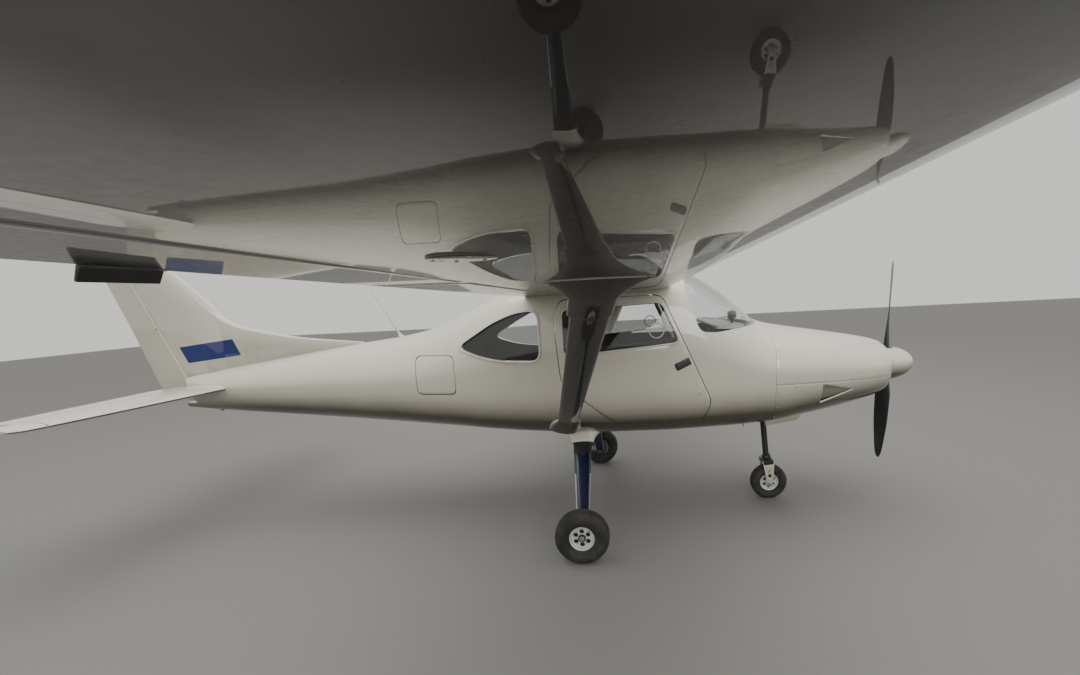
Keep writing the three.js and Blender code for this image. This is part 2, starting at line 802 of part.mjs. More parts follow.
// The level tail, elevator and all, from the middle to the tip.
// Columns: y, leading edge, trailing edge, thickness
const TAIL_STATIONS = [
  [0, -2195, -2890, 64],
  [1300, -2350, -2872, 50],
  [1405, -2372, -2866, 40],
  [TAIL_HALF_SPAN, -2430, -2850, 20],
].map(([y, front, rear, thickness]) => ({ y, front, rear, thickness }));
const onElevatorHinge = (y) => vector(ELEVATOR_HINGE_X, y, TAIL_Z);

/** The elevator's rounded nose on the left, flush with the skin, or its room with a gap. */
function elevatorNose(reach, gap = 0) {
  const radius = (y) => 28 - (3.8 * y) / HORN_INNER_Y + gap;
  return bar(
    onElevatorHinge(0),
    onElevatorHinge(reach),
    radius(0),
    { endRadius: radius(reach), hole: gap > 0, sides: 24 },
  );
}

function tailRing({ y, front, rear, thickness }, side) {
  const chord = front - rear;
  return airfoil(thickness / chord, 0)
    .map(([share, height]) => vector(front - share * chord, y * side, TAIL_Z + height * chord));
}

/** The level tail from tip to tip, its skin moved out by a margin. */
function levelTail(margin = 0) {
  const stations = TAIL_STATIONS.map((station) => ({
    ...station,
    front: station.front + 2 * margin,
    thickness: station.thickness + 2 * margin,
  }));
  return loft([
    ...stations.slice(1).reverse().map((station) => tailRing(station, -1)),
    ...stations.map((station) => tailRing(station, 1)),
  ]);
}

function makeLevelTail() {
  const whole = levelTail();
  const span = TAIL_HALF_SPAN + 50;
  const bothSides = (solid) => joined(solid, mirrored(solid));
  const behind = block([-3100, -span, 1000], [ELEVATOR_HINGE_X, span, 1250]);
  const cove = bothSides(elevatorNose(span, RUNNING_GAP));
  const hornGap = bothSides(block([-3100, HORN_INNER_Y, 1000], [-2200, span, 1250]));
  const horn = bothSides(block([-3100, HORN_INNER_Y + RUNNING_GAP, 1000], [-2200, span, 1250]));
  const pinBore = bothSides(bar(
    onElevatorHinge(HORN_INNER_Y - 60),
    onElevatorHinge(HORN_INNER_Y + 2),
    PIN_RADIUS + FIT,
    { hole: true },
  ));
  const lugSpan = [HORN_INNER_Y - 50, HORN_INNER_Y - 20];
  const lugRear = ELEVATOR_HINGE_X - 18;
  const lugFront = ELEVATOR_HINGE_X + 60;
  const lugs = bothSides(block(
    [lugRear, lugSpan[0], TAIL_Z - 16],
    [lugFront, lugSpan[1], TAIL_Z + 16],
  ));
  addNode('stabilizer', joined(cut(whole, behind, cove, hornGap), lugs).subtract(pinBore), gelcoat());

  const lugRoom = bothSides(block(
    [lugRear - 2 * RUNNING_GAP, lugSpan[0] - RUNNING_GAP, 1050],
    [lugFront, lugSpan[1] + RUNNING_GAP, 1200],
  ));
  const sweep = ELEVATOR_INNER_Y + 380 * Math.tan(RUDDER_TRAVEL);
  const rudderRoom = topPlate([
    [-2480, -ELEVATOR_INNER_Y],
    [-2480, ELEVATOR_INNER_Y],
    [-2620, ELEVATOR_INNER_Y],
    [-3000, sweep],
    [-3000, -sweep],
    [-2620, -ELEVATOR_INNER_Y],
  ], 980, 300);
  const nose = bothSides(elevatorNose(HORN_INNER_Y + 20));
  const blades = cut(
    joined(whole.intersect(behind), whole.intersect(horn), nose),
    rudderRoom,
    lugRoom,
  );
  const tubeReach = ELEVATOR_INNER_Y + 60;
  const tube = bar(onElevatorHinge(-tubeReach), onElevatorHinge(tubeReach), ELEVATOR_TUBE_RADIUS);
  const pins = bothSides(bar(
    onElevatorHinge(HORN_INNER_Y - 70),
    onElevatorHinge(HORN_INNER_Y + 15),
    PIN_RADIUS,
  ));
  addNode('elevator', joined(blades, tube, pins), gelcoat());
}

/** A plate drawn from above, as x and y. */
function topPlate(outline, low, depth) {
  const geometry = new THREE.ExtrudeGeometry(polygonShape(outline), { depth, bevelEnabled: false });
  geometry.translate(0, 0, low);
  return solidOf(geometry);
}

// Cowl, engine and propeller

const INLET = { y: 175, z: 1100, width: 150, height: 92 };

function makeCowl() {
  const skin = hull(COWL_FRONT_X, FIREWALL_X + FIT, 0);
  const room = hull(COWL_FRONT_X - COWL_WALL, FIREWALL_X, COWL_WALL);
  const shaftHole = bar(vector(2950, 0, THRUST_Z), vector(3050, 0, THRUST_Z), 60, { sides: 24 });
  const inletAt = (side) => {
    const shape = roundedShape([
      [-INLET.width / 2, -INLET.height / 2],
      [INLET.width / 2, -INLET.height / 2],
      [INLET.width / 2, INLET.height / 2],
      [-INLET.width / 2, INLET.height / 2],
    ], 42);
    const depth = 160;
    const geometry = new THREE.ExtrudeGeometry(shape, { depth, bevelEnabled: false, curveSegments: 4 });
    geometry.rotateY(Math.PI / 2);
    geometry.rotateX(Math.PI / 2);
    geometry.translate(COWL_FRONT_X - 110, side * INLET.y, INLET.z);
    return solidOf(geometry);
  };
  const outlet = block([FIREWALL_X - 10, -150, 600], [2430, 150, 800]);
  const sideExit = sidePlate([[2655, 985], [2430, 1040], [2430, 905]], 300, 700);
  const shell = cut(skin, room, shaftHole, inletAt(1), inletAt(-1), outlet, sideExit, mirrored(sideExit));
  const upperSpace = block([2000, -700, COWL_SPLIT_Z + FIT / 2], [3100, 700, 1600]);
  const lowerSpace = block([2000, -700, 500], [3100, 700, COWL_SPLIT_Z - FIT / 2]);
  addNode('cowl_upper', shell.intersect(upperSpace), gelcoat());
  addNode('cowl_lower', shell.intersect(lowerSpace), gelcoat());
}

const ENGINE_FOOT_Z = 905;
const PIPE_RADIUS = 24;
const SHAFT_RADIUS = 25;

function makeEngine() {
  const bearers = [[1, 960], [1, 1180], [-1, 960], [-1, 1180]].map(([side, z]) => (
    bar(vector(FIREWALL_X + FIT, side * 200, z), vector(2290, side * 200, z), 16, { sides: 12 })
  ));
  const crankcase = block([2270, -260, ENGINE_FOOT_Z], [2790, 260, 1230]);
  const gearbox = bar(vector(2780, 0, THRUST_Z), vector(2960, 0, THRUST_Z), 90, { sides: 24 });
  const shaft = bar(vector(2950, 0, THRUST_Z), vector(3095, 0, THRUST_Z), SHAFT_RADIUS, { sides: 24 });
  addNode('engine_block', joined(crankcase, gearbox, shaft, ...bearers), bareMetal());
  const pipe = joined(
    bar(vector(2310, 70, ENGINE_FOOT_Z - FIT), vector(2310, 70, 760), PIPE_RADIUS),
    bar(vector(2310, 70, 770), vector(2240, 70, 655), PIPE_RADIUS),
  );
  addNode('exhaust_pipe', pipe, bareMetal());
}

// Columns: radius, chord, thickness, blade angle in degrees
const BLADE_STATIONS = [
  [40, 62, 52, 60],
  [140, 84, 34, 46],
  [260, 118, 18, 35],
  [420, 124, 12, 26],
  [600, 100, 9, 20],
  [720, 66, 7, 17],
  [PROPELLER_RADIUS, 26, 4, 16],
].map(([radius, chord, thickness, angle]) => ({ radius, chord, thickness, angle }));

function bladeRing({ radius, chord, thickness, angle }) {
  const turn = THREE.MathUtils.degToRad(angle);
  const points = 12;
  const ring = [];
  for (let k = 0; k < points; k += 1) {
    const around = ((k + 0.5) / points) * 2 * Math.PI;
    const across = (Math.cos(around) * chord) / 2;
    const through = (Math.sin(around) * thickness) / 2;
    const y = across * Math.cos(turn) - through * Math.sin(turn);
    const x = across * Math.sin(turn) + through * Math.cos(turn);
    ring.push(vector(x, y, radius));
  }
  return ring;
}

function makePropeller() {
  const hubHalf = 28;
  const hubRadius = 70;
  const upper = loft(BLADE_STATIONS.map(bladeRing));
  const turned = geometryOf(upper).applyMatrix4(new THREE.Matrix4().makeRotationX(Math.PI));
  const lower = solidOf(turned);
  const hub = bar(vector(-hubHalf, 0, 0), vector(hubHalf, 0, 0), hubRadius, { sides: 24 });
  const boreRadius = SHAFT_RADIUS + FIT;
  const shaftBore = bar(vector(-60, 0, 0), vector(60, 0, 0), boreRadius, { hole: true, sides: 24 });
  const assembly = new THREE.Group();
  assembly.position.set(PROPELLER_X, 0, THRUST_Z);
  group.add(assembly);
  addNode('propeller', joined(hub, upper, lower).subtract(shaftBore), darkBlade(), assembly);

  const back = SPINNER_BACK_X - PROPELLER_X;
  const length = NOSE_TIP_X - SPINNER_BACK_X;
  const profile = [new THREE.Vector2(0, back)];
  const steps = 8;
  for (let k = 0; k < steps; k += 1) {
    const share = k / steps;
    const radius = SPINNER_RADIUS * Math.sqrt(1 - share ** 2.2);
    profile.push(new THREE.Vector2(radius, back + share * length));
  }
  profile.push(new THREE.Vector2(0, back + length));
  const dome = new THREE.LatheGeometry(profile, 24);
  dome.rotateZ(-Math.PI / 2);
  const hubRoom = bar(
    vector(-hubHalf - FIT, 0, 0),
    vector(hubHalf + FIT, 0, 0),
    hubRadius + FIT,
    { hole: true, sides: 24 },
  );
  const bladeRoom = block([-hubHalf - 8, -48, -170], [hubHalf + 8, 48, 170]);
  const plateHole = bar(vector(-60, 0, 0), vector(0, 0, 0), 34, { sides: 24 });
  addNode('spinner', cut(solidOf(dome), hubRoom, bladeRoom, plateHole), gelcoat(), assembly);
}

// Landing gear

function lathed(profile, segments) {
  return solidOf(new THREE.LatheGeometry(profile.map(([r, y]) => new THREE.Vector2(r, y)), segments));
}

// A brake disc beside its wheel's middle, towards the aircraft
const DISC = { radius: 74, near: 66, far: 71, hatRadius: 40 };

/** Hub and tyre about the origin, with the axle along Y; a brake disc stands on the side named. */
function makeWheel(wheel, name, parent, discSide = 0) {
  const half = wheel.width / 2;
  const bead = half * 0.62;
  const bulge = (wheel.radius - wheel.rim) / 2;
  const tyreProfile = [[wheel.rim + FIT, -bead]];
  const steps = 8;
  for (let k = 0; k <= steps; k += 1) {
    const angle = -Math.PI * 0.5 + (k / steps) * Math.PI;
    const r = wheel.rim + bulge + bulge * Math.cos(angle) ** 0.8;
    const y = half * Math.sign(Math.sin(angle)) * Math.abs(Math.sin(angle)) ** 0.75;
    tyreProfile.push([r, y]);
  }
  tyreProfile.push([wheel.rim + FIT, bead]);
  tyreProfile.push([wheel.rim + FIT, -bead]);
  const rimProfile = [
    [0, -bead * 0.55],
    [wheel.axle + 16, -bead * 0.55],
    [wheel.axle + 20, -8],
    [wheel.rim - 12, -8],
    [wheel.rim - 8, -bead],
    [wheel.rim, -bead],
    [wheel.rim, bead],
    [wheel.rim - 8, bead],
    [wheel.rim - 12, 8],
    [wheel.axle + 20, 8],
    [wheel.axle + 16, bead * 0.55],
    [0, bead * 0.55],
  ];
  const bore = bar(
    vector(0, -wheel.width, 0),
    vector(0, wheel.width, 0),
    wheel.axle + FIT,
    { hole: true, sides: 24 },
  );
  const ringRadius = (wheel.axle + 20 + wheel.rim - 12) / 2;
  const holeRadius = (wheel.rim - wheel.axle - 32) * 0.32;
  const holes = [0, 1, 2, 3, 4, 5].map((k) => {
    const angle = (k / 6) * 2 * Math.PI;
    const centre = vector(Math.cos(angle) * ringRadius, 0, Math.sin(angle) * ringRadius);
    return bar(
      centre.clone().setY(-30),
      centre.clone().setY(30),
      holeRadius,
      { sides: 6 },
    );
  });
  const segments = 24;
  const discs = discSide === 0 ? [] : [
    bar(vector(0, 0, 0), vector(0, discSide * DISC.far, 0), DISC.hatRadius, { sides: segments }),
    bar(
      vector(0, discSide * DISC.near, 0),
      vector(0, discSide * DISC.far, 0),
      DISC.radius,
      { sides: segments },
    ),
  ];
  const hub = cut(joined(cut(lathed(rimProfile, segments), ...holes), ...discs), bore);
  addNode(`${name[0]}_hub${name[1]}`, hub, bareMetal(), parent);
  addNode(`${name[0]}_tyre${name[1]}`, lathed(tyreProfile, segments), tyreRubber(), parent);
}

// The main leg from the belly to the axle.
// Columns: y, z, width fore and aft, thickness, x
const LEG_STATIONS = [
  [330, 760, 138, 34, 735],
  [420, 672, 134, 33, 737],
  [640, 449, 112, 28, 745],
  [800, 276, 92, 25, 753],
  [912, 139, 78, 24, 761],
].map(([y, z, width, thickness, x]) => ({ y, z, width, thickness, x }));

function legRings(grow) {
  return LEG_STATIONS.map((station, k) => {
    const before = LEG_STATIONS[Math.max(0, k - 1)];
    const after = LEG_STATIONS[Math.min(LEG_STATIONS.length - 1, k + 1)];
    const along = vector(0, after.y - before.y, after.z - before.z).normalize();
    const centre = vector(station.x, station.y, station.z);
    const fore = vector(1, 0, 0);
    const side = fore.clone().cross(along).normalize();
    const points = 12;
    const ring = [];
    for (let p = 0; p < points; p += 1) {
      const angle = ((p + 0.5) / points) * 2 * Math.PI;
      ring.push(
        centre.clone()
          .addScaledVector(fore, Math.cos(angle) * (station.width / 2 + grow))
          .addScaledVector(side, Math.sin(angle) * (station.thickness / 2 + grow)),
      );
    }
    return ring;
  });
}

/** The left wheel's brake caliper, behind the axle, with its arm to the axle's flange. */
function makeCaliper() {
  const slotGap = 5;
  const { x, y, radius: z } = MAIN_WHEEL;
  const body = block([x - 88, y - 90, z - 24], [x - 52, y - 56, z + 24]);
  const slot = block(
    [x - DISC.radius - slotGap, y - DISC.far - slotGap, z - 30],
    [x - 40, y - DISC.near + slotGap, z + 30],
  );
  const arm = block([x - 60, y - 97, z - 14], [x, y - 85, z + 14]);
  return joined(body.subtract(slot), arm);
}

function makeMainGear() {
  const axleInner = 838;
  const flange = bar(
    vector(MAIN_WHEEL.x, axleInner + 45, MAIN_WHEEL.radius),
    vector(MAIN_WHEEL.x, axleInner + 57, MAIN_WHEEL.radius),
    34,
    { sides: 16 },
  );
  const axleBar = bar(
    vector(MAIN_WHEEL.x, axleInner + 45, MAIN_WHEEL.radius),
    vector(MAIN_WHEEL.x, MAIN_WHEEL.y + 44, MAIN_WHEEL.radius),
    MAIN_WHEEL.axle,
    { sides: 24 },
  );
  const nut = bar(
    vector(MAIN_WHEEL.x, MAIN_WHEEL.y + 34, MAIN_WHEEL.radius),
    vector(MAIN_WHEEL.x, MAIN_WHEEL.y + 46, MAIN_WHEEL.radius),
    24,
    { sides: 6 },
  );
  const axle = joined(flange, axleBar, nut, makeCaliper());
  const flangeRoom = block(
    [MAIN_WHEEL.x - 90, axleInner + 45 - FIT, MAIN_WHEEL.radius - 90],
    [MAIN_WHEEL.x + 90, axleInner + 150, MAIN_WHEEL.radius + 60],
  );
  const leg = cut(loft(legRings(0)), outerClear, flangeRoom);
  const sleeve = loft(legRings(0.5));
  const fairingRings = [
    [vector(735, 300, 740), 420, 150],
    [vector(736, 385, 688), 300, 105],
    [vector(738, 440, 640), 190, 62],
  ].map(([centre, chord, thickness]) => (
    streamRing(centre, vector(0, 0.7, -0.7), chord, thickness)
  ));
  const fairing = cut(loft(fairingRings), sleeve, outerClear);
  addPair('gear_leg', leg, darkBlade);
  addPair('leg_fairing', fairing, gelcoat);
  addPair('main_axle', axle, bareMetal);
  [['left', 1], ['right', -1]].forEach(([side, direction]) => {
    const station = new THREE.Group();
    station.position.set(MAIN_WHEEL.x, direction * MAIN_WHEEL.y, MAIN_WHEEL.radius);
    group.add(station);
    makeWheel(MAIN_WHEEL, ['main', `_${side}`], station, -direction);
  });
}

/** The steered nose leg, drawn upright over its axle and then raked. */
function makeNoseGear() {
  const raked = new THREE.Group();
  raked.position.set(NOSE_WHEEL.x, 0, NOSE_WHEEL.radius);
  raked.rotation.y = -NOSE_RAKE;
  group.add(raked);
  const crown = 170;
  const plateY = NOSE_WHEEL.width / 2 + 12;
  const plateOutline = [[-52, crown + 26], [-28, -26], [28, -26], [52, crown + 26]];
  const plate = sidePlate(plateOutline, plateY, plateY + 9, 22);
  const bridge = block([-50, -plateY - 4, crown], [50, plateY + 4, crown + 26]);
  const collar = bar(vector(0, 0, crown + 20), vector(0, 0, crown + 60), 38, { sides: 20 });
  const tubeSeat = bar(
    vector(0, 0, crown + 26),
    vector(0, 0, crown + 70),
    NOSE_LEG_RADIUS + FIT,
    { hole: true, sides: 20 },
  );
  const seatRadius = NOSE_WHEEL.axle + FIT;
  const axleSeat = bar(vector(0, -120, 0), vector(0, 120, 0), seatRadius, { hole: true, sides: 24 });
  const eye = bar(vector(0, plateY - 30, 84), vector(0, plateY + 40, 84), 14, { sides: 14 });
  const whole = joined(plate, mirrored(plate), bridge, collar);
  const fork = cut(whole, tubeSeat, axleSeat, eye, mirrored(eye));
  addNode('nose_fork', fork, gelcoat(), raked);
  const tube = bar(vector(0, 0, crown + 26 + FIT), vector(0, 0, 721), NOSE_LEG_RADIUS, { sides: 20 });
  addNode('nose_leg', tube, blackMetal(), raked);
  const axle = joined(
    bar(vector(0, -plateY - 16, 0), vector(0, plateY + 16, 0), NOSE_WHEEL.axle, { sides: 24 }),
    bar(vector(0, plateY + 9 + FIT, 0), vector(0, plateY + 18, 0), 17, { sides: 6 }),
    bar(vector(0, -plateY - 18, 0), vector(0, -plateY - 9 - FIT, 0), 17, { sides: 6 }),
  );
  addNode('nose_axle', axle, bareMetal(), raked);

  const station = new THREE.Group();
  station.position.set(NOSE_WHEEL.x, 0, NOSE_WHEEL.radius);
  group.add(station);
  makeWheel(NOSE_WHEEL, ['nose', ''], station);

  const axisX = (z) => NOSE_WHEEL.x - (z - NOSE_WHEEL.radius) * Math.tan(NOSE_RAKE);
  const bearing = bar(
    vector(axisX(600), 0, 600),
    vector(axisX(900), 0, 900),
    NOSE_LEG_RADIUS + FIT,
    { hole: true, sides: 20 },
  );
  const bracket = block([FIREWALL_X + FIT, -48, 715], [axisX(715) + 45, 48, 850]);
  addNode('nose_gear_mount', bracket.subtract(bearing), blackMetal());
}

// Cabin fittings

function makeInterior() {
  const seatOutline = [
    [1290, 950],
    [1260, 905],
    [860, 870],
    [800, 760],
    [720, 760],
    [690, 900],
    [530, 1440],
    [575, 1475],
    [640, 1450],
    [830, 985],
    [1230, 1005],
  ];
  const seatRoom = hull(FIREWALL_X - 200, CABIN_REAR_X + 200, CABIN_WALL + FIT);
  const seat = sidePlate(seatOutline, 60, 500, 40).intersect(seatRoom);
  addPair('seat', seat, seatCloth);

  const panelShape = roundedShape([
    [-450, 1150],
    [450, 1150],
    [470, 1390],
    [330, 1455],
    [-330, 1455],
    [-470, 1390],
  ], 40);
  const extrusion = { depth: 90, bevelEnabled: false, curveSegments: 3 };
  const panelGeometry = new THREE.ExtrudeGeometry(panelShape, extrusion);
  panelGeometry.rotateX(Math.PI / 2);
  panelGeometry.rotateZ(Math.PI / 2);
  panelGeometry.translate(1730, 0, 0);
  const legsToWall = block([1790, -440, 1240], [FIREWALL_X - 25 - FIT, -400, 1300]);
  const panel = joined(solidOf(panelGeometry), legsToWall, mirrored(legsToWall));
  addNode('instrument_panel', panel, trimPlastic());

  const floor = 680 + CABIN_WALL;
  const room = hull(FIREWALL_X - 25, CABIN_REAR_X + 20, CABIN_WALL + FIT);
  const pedestal = block([1180, -50, floor - 20], [1560, 50, 960]).intersect(room);
  const stickY = 280;
  const stick = joined(
    bar(vector(1340, stickY, floor + 60), vector(1370, stickY, 1080), 9, { sides: 10 }),
    bar(vector(1370, stickY, 1075), vector(1352, stickY, 1200), 17),
  );
  const tubeZ = floor + 62;
  const crossTube = bar(vector(1340, -stickY - 20, tubeZ), vector(1340, stickY + 20, tubeZ), 12);
  addNode('cabin_console', joined(pedestal, crossTube, stick, mirrored(stick)), trimPlastic());
}

function makeAntenna() {
  const foot = vector(-745, 0, 1466);
  const tip = vector(-1010, 0, 1995);
  const base = bar(foot.clone().setZ(1440), foot.clone().setZ(1482), 22, { sides: 16 });
  const rod = bar(foot, tip, 5, { endRadius: 3, sides: 10 });
  addNode('antenna_whip', joined(base, rod).subtract(outerClear), blackMetal());
}

makeCabin();
makeTailBoom();
const wingWhole = makeWings();
makeStruts(wingWhole);
makeFin();
makeLevelTail();
makeCowl();
makeEngine();
makePropeller();
makeMainGear();
makeNoseGear();
makeInterior();
makeAntenna();

export default group;
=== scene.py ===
"""A two-seat high-wing light aircraft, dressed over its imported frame.

Metres. +X is forward, +Y is to the left (port), +Z is up, and the ground is z = 0.
"""

import json
import math

import bpy
from mathutils import Matrix, Vector


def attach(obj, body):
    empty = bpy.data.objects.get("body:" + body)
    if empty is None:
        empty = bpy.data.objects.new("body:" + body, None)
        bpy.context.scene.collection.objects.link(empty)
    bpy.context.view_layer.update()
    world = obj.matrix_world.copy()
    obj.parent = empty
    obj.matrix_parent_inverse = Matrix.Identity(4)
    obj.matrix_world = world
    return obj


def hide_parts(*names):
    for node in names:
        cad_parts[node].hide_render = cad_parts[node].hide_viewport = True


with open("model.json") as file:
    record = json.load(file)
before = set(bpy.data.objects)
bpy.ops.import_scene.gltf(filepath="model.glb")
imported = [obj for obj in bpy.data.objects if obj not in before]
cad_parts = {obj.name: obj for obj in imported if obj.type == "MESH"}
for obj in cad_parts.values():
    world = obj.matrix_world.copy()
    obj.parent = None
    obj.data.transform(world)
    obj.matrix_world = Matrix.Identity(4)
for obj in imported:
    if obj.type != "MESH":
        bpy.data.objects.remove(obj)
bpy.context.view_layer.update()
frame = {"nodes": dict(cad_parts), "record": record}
NODES = frame["nodes"]
PHOTO_WIDTH, PHOTO_HEIGHT = 1080, 675
SIDES = ((-1, "right"), (1, "left"))
FULL_TURN = 2 * math.pi

# Sizes that the solids have

FIREWALL_X, CABIN_REAR_X, BOOM_END_X = 2.100, -0.620, -2.700
COWL_FRONT_X, COWL_SPLIT_Z, COWL_WALL, COWL_GAP = 3.010, 1.050, 0.012, 0.002
CABIN_WALL, DOOR_GAP, RUNNING_GAP = 0.028, 0.005, 0.007

THRUST_Z, PROPELLER_X = 1.090, 3.075
SPINNER_RADIUS, SPINNER_BACK_X, NOSE_TIP_X = 0.130, 3.040, 3.275

WING_ROOT_Y, WING_LEADING_X, WING_CHORD, WING_CHORD_LINE_Z = 0.430, 1.400, 1.000, 1.755
WING_DIHEDRAL, WING_INCIDENCE = math.radians(1.25), math.radians(2.0)
WING_HINGE_X, WING_DEPTH = 0.655, 0.125
FLAP_SPAN, AILERON_SPAN, TAB_SPAN = (0.640, 2.480), (2.530, 4.330), (3.150, 3.270)

TAIL_Z, ELEVATOR_HINGE_X = 1.120, -2.540
ELEVATOR_INNER_Y, ELEVATOR_TUBE_RADIUS, HORN_INNER_Y = 0.093, 0.014, 1.300
RUDDER_HINGE_LOW, RUDDER_HINGE_HIGH = Vector((-2.640, 0, 1.140)), Vector((-3.050, 0, 2.230))
RUDDER_FOOT_Z, FIN_HORN_Z = 1.010, 2.205

MAIN_WHEEL = {"x": 0.760, "y": 0.980, "radius": 0.180, "width": 0.132, "rim": 0.084, "axle": 0.014}
NOSE_WHEEL = {"x": 2.215, "y": 0.0, "radius": 0.144, "width": 0.102, "rim": 0.074, "axle": 0.010}
NOSE_RAKE = math.atan(0.107)

STRUT_CHORD, STRUT_THICKNESS = 0.142, 0.042
STRUT_FOOT, STRUT_TOP = Vector((0.655, 0.470, 0.800)), Vector((1.050, 2.400, 1.745))

# x, half width, bottom, height of the widest line, top, squareness above and below it
SECTIONS = [
    (3.010, 0.250, 0.915, 1.085, 1.250, 2.3, 2.3),
    (2.975, 0.310, 0.890, 1.085, 1.276, 2.3, 2.3),
    (2.850, 0.385, 0.850, 1.085, 1.312, 2.4, 2.4),
    (2.620, 0.455, 0.795, 1.085, 1.356, 2.5, 2.5),
    (2.360, 0.510, 0.745, 1.090, 1.402, 2.6, 2.6),
    (2.110, 0.545, 0.705, 1.095, 1.455, 2.6, 2.8),
    (2.030, 0.552, 0.700, 1.098, 1.487, 2.6, 2.8),
    (1.900, 0.565, 0.694, 1.105, 1.602, 2.8, 2.9),
    (1.720, 0.578, 0.688, 1.112, 1.745, 3.2, 3.0),
    (1.540, 0.590, 0.684, 1.118, 1.845, 3.7, 3.1),
    (1.350, 0.597, 0.681, 1.120, 1.880, 4.0, 3.2),
    (1.000, 0.600, 0.680, 1.120, 1.885, 4.0, 3.2),
    (0.600, 0.592, 0.688, 1.120, 1.868, 4.0, 3.1),
    (0.300, 0.572, 0.702, 1.120, 1.815, 3.6, 3.0),
    (0.050, 0.540, 0.718, 1.118, 1.722, 3.1, 2.9),
    (-0.200, 0.500, 0.738, 1.115, 1.610, 2.8, 2.7),
    (-0.450, 0.455, 0.758, 1.112, 1.520, 2.5, 2.6),
    (-0.750, 0.398, 0.782, 1.110, 1.465, 2.4, 2.5),
    (-1.150, 0.325, 0.815, 1.108, 1.420, 2.3, 2.4),
    (-1.600, 0.250, 0.852, 1.106, 1.360, 2.2, 2.3),
    (-2.100, 0.175, 0.892, 1.104, 1.295, 2.1, 2.2),
    (-2.480, 0.095, 0.925, 1.104, 1.245, 2.1, 2.1),
    (-2.700, 0.042, 0.950, 1.104, 1.215, 2.1, 2.1),
]

# Side outlines, as x and z
DOOR_OUTLINE = [(1.335, 1.697), (1.665, 0.960), (1.600, 0.805), (1.010, 0.805), (0.630, 1.130),
                (0.600, 1.560), (0.640, 1.697)]
DOOR_WINDOW = [(1.330, 1.645), (1.446, 1.380), (0.662, 1.320), (0.662, 1.625)]
REAR_WINDOW = [(0.490, 1.630), (0.330, 1.622), (0.160, 1.560), (-0.112, 1.402), (0.050, 1.335),
               (0.220, 1.300), (0.490, 1.290)]
WINDSCREEN = [(1.500, 1.950), (1.490, 1.720), (1.585, 1.440), (1.700, 1.430), (2.060, 1.476),
              (2.110, 1.484), (2.110, 1.950)]
HATCH_OUTLINE = [(-0.150, 1.345), (-0.150, 1.065), (-0.460, 1.065), (-0.460, 1.345)]
COWL_EXIT = [(2.655, 0.985), (2.430, 1.040), (2.430, 0.905)]

# How far the corners of each opening are rounded
DOOR_ROUNDING, DOOR_WINDOW_ROUNDING, REAR_WINDOW_ROUNDING = 0.06, 0.045, 0.075
HATCH_ROUNDING, WINDSCREEN_ROUNDING, EXIT_ROUNDING = 0.045, 0.05, 0.012

FORE, PORT, ZENITH = Vector((1, 0, 0)), Vector((0, 1, 0)), Vector((0, 0, 1))


# Making and joining pieces


def start_fresh():
    if bpy.context.object and bpy.context.object.mode != "OBJECT":
        bpy.ops.object.mode_set(mode="OBJECT")
    bpy.ops.object.select_all(action="DESELECT")


def pick(piece):
    start_fresh()
    piece.select_set(True)
    bpy.context.view_layer.objects.active = piece


def named(piece, name):
    piece.name = piece.data.name = name
    return piece


def settle(piece, place=None):
    """Puts a piece's place, or the one given, into its mesh."""
    if place is not None:
        piece.matrix_world = place
    pick(piece)
    bpy.ops.object.transform_apply(location=True, rotation=True, scale=True)
    return piece


def reshape(*steps):
    """Runs mesh operators, each with its settings, on the whole of the active piece."""
    bpy.ops.object.mode_set(mode="EDIT")
    for operator, settings in steps:
        bpy.ops.mesh.select_all(action="SELECT")
        operator(**settings)
    bpy.ops.object.mode_set(mode="OBJECT")


FACE_OUTWARDS = (bpy.ops.mesh.normals_make_consistent, {"inside": False})


def skin_over(ribs, name="skin", capped=True):
    """A sheet bent over ribs with equal numbers of points, closed round them and at its ends."""
    along, around = len(ribs) - 1, len(ribs[0])
    start_fresh()
    bpy.ops.mesh.primitive_grid_add(x_subdivisions=along, y_subdivisions=around, size=2)
    sheet = named(bpy.context.object, name)
    for vertex in sheet.data.vertices:
        rib = round((vertex.co.x + 1) / 2 * along)
        step = round((vertex.co.y + 1) / 2 * around) % around
        vertex.co = ribs[rib][step]
    caps = [(bpy.ops.mesh.fill_holes, {"sides": 0})] if capped else []
    reshape((bpy.ops.mesh.remove_doubles, {"threshold": 1e-6}), *caps, FACE_OUTWARDS)
    return sheet


def rounded(outline, radius, steps=6):
    """An outline whose corners are eased by a radius."""
    points = [Vector(point) for point in outline]
    eased = []
    for k, corner in enumerate(points):
        ends = []
        for other in (points[k - 1], points[(k + 1) % len(points)]):
            away = other - corner
            ends.append(corner + away.normalized() * min(radius, away.length * 0.45))
        for t in between(0, 1, steps):
            eased.append(ends[0] * (1 - t) ** 2 + corner * 2 * t * (1 - t) + ends[1] * t**2)
    return eased


def grown(outline, margin):
    """An outline with each side moved outwards by a margin."""
    points = [Vector(point) for point in outline]
    area = sum(a.x * b.y - b.x * a.y for a, b in zip(points, points[1:] + points[:1]))
    turning = 1 if area > 0 else -1
    moved = []
    for k, corner in enumerate(points):
        inward = (corner - points[k - 1]).normalized()
        outward = (points[(k + 1) % len(points)] - corner).normalized()
        normal_in = Vector((inward.y, -inward.x)) * turning
        normal_out = Vector((outward.y, -outward.x)) * turning
        middle = (normal_in + normal_out).normalized()
        moved.append(corner + middle * margin / max(0.3, middle.dot(normal_in)))
    return moved


